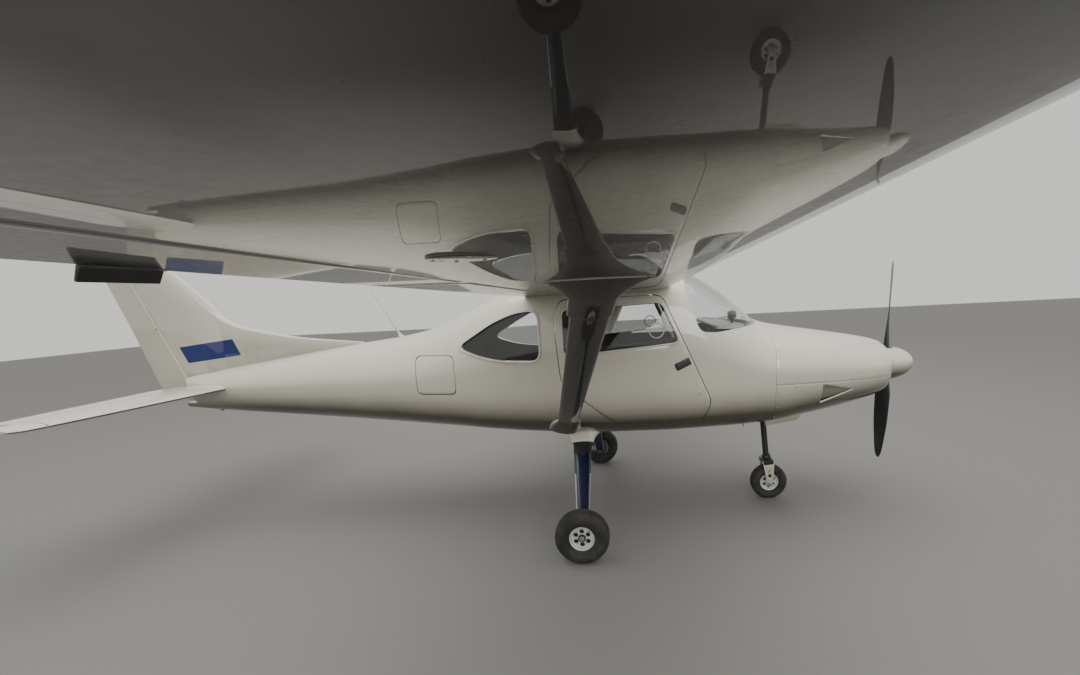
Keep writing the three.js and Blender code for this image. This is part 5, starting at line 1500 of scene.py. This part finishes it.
# y, z, radius and number of marks
DIALS = [
    (0.385, 1.370, 0.040, 12), (0.290, 1.385, 0.040, 12), (0.195, 1.385, 0.040, 12),
    (0.385, 1.275, 0.040, 12), (0.290, 1.285, 0.040, 12), (0.195, 1.285, 0.040, 12),
    (-0.200, 1.385, 0.028, 8), (-0.270, 1.385, 0.028, 8),
    (-0.200, 1.315, 0.028, 8), (-0.270, 1.315, 0.028, 8),
]
# Lowest and highest y and z of each screen
SCREENS = [((-0.135, 1.300), (0.135, 1.425)), ((-0.100, 1.225), (0.100, 1.285)),
           ((-0.100, 1.170), (0.100, 1.212))]


def make_instruments():
    bases, marks = [], []
    for k, place in enumerate(DIALS):
        base, pale = dial(*place, 0.7 + 1.9 * k)
        bases += base
        marks += pale
    dress(gathered("dials", bases), "airframe", SATIN_BLACK, slot="trim")
    dress(gathered("dial_marks", marks), "airframe", PALE_TRIM)
    screens, knobs = [], []
    face, rim = PANEL_FACE_X, 0.008
    for low, high in SCREENS:
        screen = block((face - 0.008, *low), (face + 0.002, *high))
        glass = (low[0] + rim, low[1] + rim), (high[0] - rim, high[1] - rim)
        carve(screen, block((face - 0.009, *glass[0]), (face - 0.0055, *glass[1])))
        screens.append(soften(screen, 0.0015))
        z = (low[1] + high[1]) / 2
        for y in (low[0] - 0.018, high[0] + 0.018):
            knobs.append(rod((face + 0.002, y, z), (face - 0.016, y, z), 0.0085, 0.0075, easing=0.0012))
    dress(gathered("screens", screens), "airframe", DARK_GLOSS)
    dress(gathered("panel_knobs", knobs), "airframe", SATIN_BLACK, slot="trim")


def make_panel():
    left_half = [(0.450, 1.150), (0.470, 1.390), (0.330, 1.450)]
    outline = [(-0.450, 1.150), *left_half, (-0.330, 1.450), (-0.470, 1.390)]
    board = front_plate(rounded(outline, 0.04, 8), PANEL_FACE_X, 1.818)
    carve(board, front_plate(rounded(grown(outline, -0.012), 0.035, 8), 1.745, 1.83))
    arms = [soften(side_block(side, (1.79, 0.400, 1.24), (2.070, 0.440, 1.30)), 0.004) for side in (1, -1)]
    board = gathered("instrument_board", [soften(board, 0.003, 50, 3), *arms])
    dress(board, "airframe", TRIM, "instrument_panel")

    outline = [(1.700, 1.468), (1.712, 1.476), (2.062, 1.436), (2.062, 1.424), (1.715, 1.452), (1.700, 1.452)]
    glareshield = trim_to(side_plate(outline, -0.6, 0.6, "glareshield"), hull(2.07, 1.6, CARPET_INSET, 0.04))
    dress(soften(glareshield, 0.002), "airframe", PALE_TRIM)
    make_instruments()
    half = [(0.026, 0.030), (0.034, 0.018)]
    profile = [(0.0, -0.032)] + [(r, -h) for r, h in half] + [(0.036, 0.0)] + half[::-1] + [(0.0, 0.032)]
    compass = spun(profile, (1.90, -0.02, 1.515), FORE, 40)
    foot = rod((1.90, -0.02, 1.445), (1.90, -0.02, 1.50), 0.012, 0.008)
    dress(gathered("compass", [compass, foot]), "airframe", SATIN_BLACK, slot="trim")


def headings(points):
    """The direction of a path at each of its points."""
    last = len(points) - 1
    return [(points[min(k + 1, last)] - points[max(k - 1, 0)]).normalized() for k in range(last + 1)]


def bent_tube(path, radii, sides=20, name="tube"):
    """A round tube through the points of a path, with one radius a point."""
    points = [Vector(point) for point in path]
    side, rings = None, []
    for point, ahead, radius in zip(points, headings(points), radii):
        side = (side - ahead * side.dot(ahead)).normalized() if side else ahead.orthogonal().normalized()
        up = ahead.cross(side)
        rings.append([point + (side * c + up * s) * radius for c, s in ring_steps(sides)])
    return skin_over(rings, name)


def curve_through(corners, steps=8):
    """Points on a smooth curve that passes through the corners given."""
    corners = [Vector(corner) for corner in corners]
    points = []
    befores, afters = corners[:1] + corners, corners[2:] + corners[-1:]
    for before, start, end, after in zip(befores, corners, corners[1:], afters):
        for t in between(0, 1, steps)[:-1]:
            points.append(0.5 * (
                2 * start + (end - before) * t
                + (2 * before - 5 * start + 4 * end - after) * t**2
                + (3 * start - before - 3 * end + after) * t**3
            ))
    return points + [corners[-1]]


def make_controls():
    """The console, the cross tube, two sticks, the throttle and the pedals."""
    console = block((1.185, -0.048, 0.715), (1.555, 0.048, 0.955))
    soften(carve(console, block((1.43, -0.1, 0.90), (1.6, 0.1, 1.0))), 0.012, 50, 4)
    cross = rod((1.34, -0.30, 0.770), (1.34, 0.30, 0.770), 0.012, easing=0.002)
    dress(gathered("centre_console", [console, cross]), "airframe", TRIM, "cabin_console")
    tubes, grips = [], []
    for side in (1, -1):
        y = side * 0.28
        path = curve_through([(1.34, y, 0.772), (1.352, y, 0.90), (1.372, y, 1.08)])
        tubes.append(bent_tube(path, [0.009] * len(path)))
        path = curve_through([(1.3705, y, 1.068), (1.366, y, 1.12), (1.352, y, 1.20)], 6)
        radii = [0.0165 + 0.0022 * math.sin(turn) for turn in between(0, 3 * math.pi, len(path) - 1)]
        grips.append(soften(bent_tube(path, radii), 0.003, 60))
    lever_path = curve_through([(1.30, 0, 0.95), (1.305, 0, 0.99), (1.32, 0, 1.03)], 4)
    tubes.append(bent_tube(lever_path, [0.005] * len(lever_path)))
    grips.append(rod((1.319, 0, 1.026), (1.327, 0, 1.052), 0.016, 0.014, easing=0.004))
    for y in (0.20, 0.36, -0.20, -0.36):
        grips.append(soften(block((1.885, y - 0.045, 0.79), (1.897, y + 0.045, 0.90)), 0.003))
        tubes.append(rod((1.93, y, 0.722), (1.894, y, 0.80), 0.008))
    dress(gathered("control_tubes", tubes), "airframe", STEEL)
    dress(gathered("control_grips", grips), "airframe", SATIN_BLACK, slot="trim")


# Seats

# Side view of the hard seat shell, as x and z
SEAT_SHELL = [
    (1.285, 0.948), (1.258, 0.908), (0.862, 0.873), (0.802, 0.763), (0.722, 0.763), (0.694, 0.900),
    (0.536, 1.432), (0.562, 1.455), (0.590, 1.440), (0.752, 0.935), (0.865, 0.912), (1.262, 0.944),
]
SEAT_MIDDLE_Y, SEAT_SHELL_HALF_WIDTH = 0.280, 0.212
SQUAB_LEAN = math.atan2(0.032, 0.397)
BACK_LEAN = -(math.pi / 2 - math.atan2(0.190, 0.465))
CUSHION_VOXEL, CUSHION_CAP, SIMULATION_STEPS = 0.006, 0.022, 20

# Name, length and width, thickness, seams, place, lean, fill, height of the welt
PADS = [
    ("squab", (0.425, 0.396), 0.050, (-0.09, 0.055), (1.060, SEAT_MIDDLE_Y, 0.9315), SQUAB_LEAN, 0.75, 0.024),
    ("back", (0.370, 0.396), 0.042, (-0.07, 0.06), (0.703, SEAT_MIDDLE_Y, 1.140), BACK_LEAN, 0.7, 0.020),
    ("head", (0.095, 0.250), 0.036, (), (0.6005, SEAT_MIDDLE_Y, 1.392), BACK_LEAN, 0.8, 0.018),
]


def cushion(name, size, thickness, seams, place):
    """A stuffed pad, drawn flat about its own middle, swollen by cloth simulation, then set in place.

    Its underside rests flat. The seams are sewn channels across it, as places along its length.
    """
    long_half, wide_half = size[0] / 2, size[1] / 2
    pad = block((-long_half, -wide_half, 0.0), (long_half, wide_half, thickness), name)
    pick(pad)
    reshape((bpy.ops.mesh.subdivide, {"number_cuts": 6}))
    soften(pad, thickness * 0.3, 60, 4)
    with_modifier(pad, "REMESH", mode="VOXEL", voxel_size=CUSHION_VOXEL)
    start = [vertex.co.copy() for vertex in pad.data.vertices]
    swell_by_cloth(pad, thickness, seams)
    for vertex, was in zip(pad.data.vertices, start):
        moved = vertex.co - was
        if moved.length > CUSHION_CAP:
            vertex.co = was + moved.normalized() * CUSHION_CAP
    with_modifier(pad, "SUBSURF", levels=1, render_levels=1)
    for vertex in pad.data.vertices:
        vertex.co.z = max(vertex.co.z, 0.0)
    return settle(pad, place)


def near_seam(point, thickness, seams):
    """Whether a point of a flat pad is held: its underside, or the top along a sewn channel."""
    if point.z < thickness * 0.18:
        return True
    return point.z > thickness * 0.6 and any(abs(point.x - seam) < CUSHION_VOXEL * 0.75 for seam in seams)


def swell_by_cloth(pad, thickness, seams):
    held = pad.vertex_groups.new(name="held")
    held.add([v.index for v in pad.data.vertices if near_seam(v.co, thickness, seams)], 1.0, "REPLACE")
    pick(pad)
    cloth = pad.modifiers.new("cloth", "CLOTH")
    settings = {
        "quality": 4, "use_pressure": True, "uniform_pressure_force": 4.0, "tension_stiffness": 12,
        "compression_stiffness": 12, "shear_stiffness": 6, "vertex_group_mass": "held",
    }
    for setting, value in settings.items():
        setattr(cloth.settings, setting, value)
    cloth.settings.effector_weights.gravity = 0.0
    cloth.collision_settings.use_collision = False
    cloth.point_cache.frame_start = 1
    cloth.point_cache.frame_end = SIMULATION_STEPS
    for step in range(1, SIMULATION_STEPS + 1):
        bpy.context.scene.frame_set(step)
    bpy.ops.object.modifier_apply(modifier=cloth.name)
    bpy.context.scene.frame_set(1)
    pad.vertex_groups.clear()


def piping(name, size, height, radius, place):
    """The welt sewn round the top edge of a cushion."""
    along, across = size[0] / 2 + 0.003, size[1] / 2 + 0.003
    corners = [(-along, -across), (along, -across), (along, across), (-along, across)]
    ring = [Vector((p.x, p.y, height)) for p in rounded(corners, 0.045, 10)]
    rings = []
    for k, point in enumerate(ring):
        side = ZENITH.cross((ring[(k + 1) % len(ring)] - ring[k - 1]).normalized())
        rings.append([point + (side * c + ZENITH * s) * radius for c, s in ring_steps(8)])
    return settle(skin_over(rings + [rings[0]], name, capped=False), place)


def strap(path, width, thickness=0.0022):
    """Flat webbing that lies along a path; the width runs across the aircraft unless the path turns."""
    points = curve_through(path, 6)
    rings = []
    for point, ahead in zip(points, headings(points)):
        across = PORT if abs(ahead.y) < 0.7 else FORE
        across = (across - ahead * across.dot(ahead)).normalized()
        half, thin = across * width / 2, ahead.cross(across).normalized() * thickness / 2
        rings.append([point + half + thin, point - half + thin, point - half - thin, point + half - thin])
    return soften(skin_over(rings), 0.0006, 40)


def make_seats():
    edges = (SEAT_MIDDLE_Y - SEAT_SHELL_HALF_WIDTH, SEAT_MIDDLE_Y + SEAT_SHELL_HALF_WIDTH)
    shell = side_plate(rounded(SEAT_SHELL, 0.02, 5), *edges, "seat_shell_left")
    trim_to(shell, hull(1.9, -0.4, CABIN_WALL + 0.006, 0.05))
    soften(shell, 0.006, 50, 3)
    for name, size, thickness, seams, foot, lean, fill, welt_height in PADS:
        place = Matrix.Translation(foot) @ Matrix.Rotation(-lean, 4, "Y")
        pad = cushion(f"seat_{name}_left", size, thickness, seams, place)
        welt = piping(f"welt_{name}_left", size, welt_height, 0.0032, place)
        for left, material in ((pad, SEAT_CLOTH), (welt, SEAT_PIPING)):
            for piece in (left, on_other_side(left)):
                dress(piece, "airframe", material, angle=80)

    y = SEAT_MIDDLE_Y
    half_lap = [(0.80, 0.205, 0.93), (0.84, 0.196, 1.005), (0.875, 0.10, 1.020)]
    lap = [(x, y - out, z) for x, out, z in half_lap] + [(0.882, y, 1.024)]
    lap += [(x, y + out, z) for x, out, z in reversed(half_lap)]
    belts = [strap(lap, 0.045)]
    shoulder = [(0.596, 1, 1.335), (0.640, 1, 1.335), (0.705, 0.95, 1.22), (0.770, 0.85, 1.10),
                (0.845, 0.5, 1.035), (0.884, 0.2, 1.029)]
    for out in (-0.075, 0.075):
        belts.append(strap([(x, y + out * share, z) for x, share, z in shoulder], 0.042))
    buckle = block((0.858, y - 0.030, 1.026), (0.918, y + 0.030, 1.040), "belt_buckle_left")
    dress_pair(shell, "airframe", SATIN_BLACK, "seat_left", slot="trim")
    dress_pair(gathered("seat_belt_left", belts), "airframe", WEBBING)
    dress_pair(soften(buckle, 0.005, 50, 3), "airframe", STEEL)


# Small fittings


def make_cowl_details():
    """The ramps in the side exits, the skirt round the bottom outlet, and the fasteners."""
    apex_x, rear_x = COWL_EXIT[0][0], COWL_EXIT[1][0]
    ramps = []
    for side, _ in SIDES:

        def on_ramp(point):
            depth = 0.003 + 0.066 * max(0, apex_x - point[0]) / (apex_x - rear_x)
            return (point[0], side * (skin_y(point[0], point[1]) - depth), point[1])

        ramps.append(plate(rounded(grown(COWL_EXIT, 0.006), EXIT_ROUNDING), on_ramp, (0, -side * 0.0022, 0)))
        shares = between(0, 1, 10)
        lip = [(apex_x - (apex_x - rear_x) * t, 0.984 - 0.083 * t) for t in shares]
        path = [(x, side * (skin_y(x, z) + 0.002), z) for x, z in lip]
        ramps.append(bent_tube(path, [0.0035 + 0.0030 * t for t in shares], 14))
    dress(gathered("cowl_exit_ramps", ramps), "airframe", GELCOAT)

    outline = [(2.440, 0.790), (2.372, 0.700), (2.135, 0.664), (2.135, 0.760)]
    skirt = side_plate(outline, -0.166, 0.166, "outlet_skirt")
    inner = [(2.436, 0.792), (2.368, 0.702), (2.367, 0.640), (2.120, 0.640), (2.120, 0.792)]
    carve(skirt, side_plate(inner, -0.1615, 0.1615), hull(FIREWALL_X - 0.02, 2.60, 0.009))
    dress(soften(skirt, 0.0012), "airframe", GELCOAT)

    spots = [(FIREWALL_X + 0.022, z) for z in (0.80, 0.89, 0.98, 1.12, 1.20, 1.29, 1.37)]
    spots += [(x, COWL_SPLIT_Z + offset) for x in (2.24, 2.44, 2.64, 2.84) for offset in (0.020, -0.020)]
    studs = []
    for side, _ in SIDES:
        for x, z in spots:
            slope = (skin_y(x, z + 0.005) - skin_y(x, z - 0.005)) / 0.01
            out = Vector((0, side, -slope)).normalized()
            foot = Vector((x, side * skin_y(x, z), z))
            studs.append(rod(foot - out * 0.002, foot + out * 0.0011, 0.0062, 0.0054, sides=16))
    dress(gathered("cowl_fasteners", studs), "airframe", STEEL)


def make_engine():
    """Flat four-cylinder engine: crankcase, finned barrels, gearbox, shaft and bearers."""
    parts = [soften(block((2.32, -0.120, 0.905), (2.79, 0.120, 1.20)), 0.018, 50, 3)]
    fins = []
    for start in between(0, 0.110, 10):
        fins += [(0.052, start), (0.062, start + 0.001), (0.062, start + 0.0045), (0.052, start + 0.0055)]
    for x in (2.42, 2.60):
        for side in (1, -1):
            start = x + (0.03 if side > 0 else 0.0)
            profile = [(0.0, 0.0), *fins, (0.0, 0.121)]
            parts.append(spun(profile, (start, side * 0.112, 1.06), (0, side, 0), 32))
            cover = side_block(side, (start - 0.055, 0.226, 0.99), (start + 0.055, 0.258, 1.13))
            parts.append(soften(cover, 0.010, 50, 3))
    parts.append(on_thrust_line(2.78, 2.96, 0.090, 0.075, sides=48, easing=0.006))
    parts.append(on_thrust_line(2.95, 3.060, 0.0248, sides=48, easing=0.001))
    for side in (1, -1):
        for z in (0.96, 1.16):
            parts.append(rod((FIREWALL_X + 0.0004, side * 0.2, z), (2.33, side * 0.1, z), 0.013))
    dress(gathered("engine_unit", parts), "airframe", CAST_METAL, "engine_block")
    bends = [(2.31, 0.9046), (2.31, 0.80), (2.300, 0.745), (2.240, 0.655)]
    path = curve_through([(x, 0.07, z) for x, z in bends])
    pipe = bent_tube(path, [0.024] * len(path), 32, "exhaust")
    along = (path[-1] - path[-2]).normalized()
    carve(pipe, rod(path[-1] - along * 0.05, path[-1] + along * 0.02, 0.0215))
    dress(soften(pipe, 0.0006), "airframe", STEEL, "exhaust_pipe")


def make_wing_fittings():
    """Round inspection covers, fuel caps and tip lights."""
    covers, caps = [], []
    for y in (1.25, 2.05, 3.15, 4.05):
        foot = wing_point(0.52, camber_line(0.52) - airfoil_half(0.52), y)
        cover = rod(foot + ZENITH * 0.004, foot - ZENITH * 0.0022, 0.055, 0.053, sides=40)
        covers.append(soften(cover, 0.0008))
        for across, along in ring_steps(6):
            spot = foot + Vector((0.046 * across, 0.046 * along, -0.002))
            caps.append(rod(spot, spot - ZENITH * 0.0014, 0.0032, sides=10))
    foot = wing_point(0.30, camber_line(0.30) + airfoil_half(0.30), 1.10)
    profile = [(0.0, -0.004), (0.040, -0.004), (0.040, 0.001), (0.034, 0.003), (0.031, 0.002), (0.0, 0.002)]
    caps.append(spun(profile, foot, ZENITH, 48))
    tab = block(foot + Vector((-0.024, -0.005, 0.001)), foot + Vector((0.024, 0.005, 0.006)))
    caps.append(soften(tab, 0.0015))
    tip = wing_point(0.035, camber_line(0.035), 4.655, 0.90, 0.075, 0.005)
    profile = [(0.0, -0.045), (0.010, -0.042), (0.017, -0.030), (0.020, -0.010), (0.020, 0.012),
               (0.016, 0.032), (0.009, 0.043), (0.0, 0.046)]
    lamp = spun(profile, tip, (0.86, 0.5, 0), 32, "tip_lamp_left")
    dress_pair(gathered("inspection_covers_left", covers), "airframe", WING_GELCOAT)
    dress_pair(gathered("wing_caps_left", caps), "airframe", STEEL)
    other_lamp = on_other_side(lamp)
    dress(lamp, "airframe", RED_LENS)
    dress(other_lamp, "airframe", GREEN_LENS)


def make_antenna():
    foot, tip = Vector((-0.745, 0, 1.466)), Vector((-1.010, 0, 1.995))
    rise = tip - foot
    profile = [(0.0, -0.02), (0.022, -0.02), (0.022, 0.006), (0.019, 0.010), (0.010, 0.014), (0.008, 0.024),
               (0.0, 0.024)]
    base = spun(profile, foot, ZENITH, 40)
    mast = rod(foot + rise * 0.01, tip, 0.0058, 0.0036, sides=16, easing=0.0008)
    collar = rod(foot + rise * 0.02, foot + rise * 0.09, 0.0125, 0.0062, sides=20)
    dress(gathered("antenna_mast", [base, mast, collar]), "airframe", GELCOAT, "antenna_whip")


def make_tail_fittings():
    """The tie-down ring under the tail, and the bolts and ridges by the rudder's hinge."""
    bolts, ridges = [], []
    for z in (1.16, 1.62, 2.10):
        for side in (1, -1):
            half = 0.024 - 0.004 * (z - 1.16)
            start = Vector((rudder_axis_at(z).x + 0.004, side * (half - 0.004), z))
            bolts.append(rod(start, start + PORT * side * 0.008, 0.0075, sides=6))
    for side in (1, -1):
        path = []
        for z in between(1.03, 2.19, 24):
            out = 0.0282 - 0.0072 * rudder_height_share(z) + 0.0075
            path.append((rudder_axis_at(z).x + 0.020, side * out, z))
        ridges.append(bent_tube(path, [0.0045] * len(path), 12))
    dress(gathered("fin_hinge_ridges", ridges), "airframe", GELCOAT)
    profile = [(0.016 + 0.0045 * c, 0.0045 * s) for c, s in ring_steps(12)]
    ring = spun(profile, (-2.42, 0, 0.925), steps=40)
    dress(gathered("tail_ring", [ring, *bolts]), "airframe", SATIN_BLACK)


# Camera, light and floor


def make_camera():
    """A plain perspective camera, fitted to the photograph: its place, its turn and its lens in pixels."""
    bpy.ops.object.camera_add(location=(1.131, -3.900, 1.714))
    camera = bpy.context.object
    yaw, pitch, roll = math.radians(-4.25), math.radians(12.94), math.radians(-2.95)
    ahead = Vector((math.sin(yaw) * math.cos(pitch), math.cos(yaw) * math.cos(pitch), -math.sin(pitch)))
    level_right = Vector((math.cos(yaw), -math.sin(yaw), 0))
    level_up = level_right.cross(ahead)
    right = level_right * math.cos(roll) + level_up * math.sin(roll)
    up = level_up * math.cos(roll) - level_right * math.sin(roll)
    camera.rotation_mode = "QUATERNION"
    camera.rotation_quaternion = Matrix((right, up, -ahead)).transposed().to_quaternion()
    focal_pixels, middle_x, middle_y = 488.9, 599.3, 407.5
    camera.data.sensor_width = 36
    camera.data.lens = focal_pixels / PHOTO_WIDTH * 36
    camera.data.shift_x = (PHOTO_WIDTH / 2 - middle_x) / PHOTO_WIDTH
    camera.data.shift_y = (middle_y - PHOTO_HEIGHT / 2) / PHOTO_WIDTH
    camera.data.clip_start, camera.data.clip_end = 0.05, 200
    bpy.context.scene.camera = camera


# Name, place, size in metres, watts and colour of each soft light
LIGHTS = [
    ("top", (0.5, -0.5, 8.5), 9.0, 420, (1.0, 0.99, 0.95)),
    ("side", (3.0, -9.0, 4.0), 4.0, 200, (1.0, 0.99, 0.95)),
    ("back", (0, 9, 5.5), 6.0, 120, (1.0, 1.0, 1.0)),
]
LIGHTS_AIM = Vector((0.2, 0, 1.2))


def make_studio():
    start_fresh()
    bpy.ops.mesh.primitive_plane_add(size=60)
    floor = settle(named(bpy.context.object, "floor"))
    floor.data.materials.append(Finish("pale_floor", (0.235, 0.232, 0.222), 0.8).material)
    for name, place, size, power, color in LIGHTS:
        bpy.ops.object.light_add(type="AREA", location=place)
        light = named(bpy.context.object, name)
        light.data.size, light.data.energy, light.data.color = size, power, color
        light.rotation_mode = "QUATERNION"
        light.rotation_quaternion = (LIGHTS_AIM - light.location).to_track_quat("-Z", "Y")
    world = bpy.data.worlds.new("studio")
    world.use_nodes = True
    background = world.node_tree.nodes["Background"]
    background.inputs["Color"].default_value = (0.92, 0.91, 0.87, 1)
    background.inputs["Strength"].default_value = 0.9
    bpy.context.scene.world = world


def finish_remaining_nodes():
    """Gives each solid that still shows the first finish of its slot."""
    slots = {part["node"]: part["material_slot"] for part in frame["record"]["subparts"]}
    for name, node in NODES.items():
        node.data.materials.clear()
        node.data.materials.append(SLOTS[slots[name]][0])


for make in (
    make_camera, make_studio, finish_remaining_nodes, make_fuselage, make_doors, make_fixed_glass, make_hatch,
    make_wings, make_trim_tab, make_struts, make_fin, make_level_tail, make_cowl, make_propeller,
    make_main_wheels, make_main_gear, make_nose_gear, make_window_lips, make_latches, make_vents,
    make_linings, make_cabin_floor, make_panel, make_controls, make_seats, make_cowl_details, make_engine,
    make_wing_fittings, make_antenna, make_tail_fittings,
):
    make()
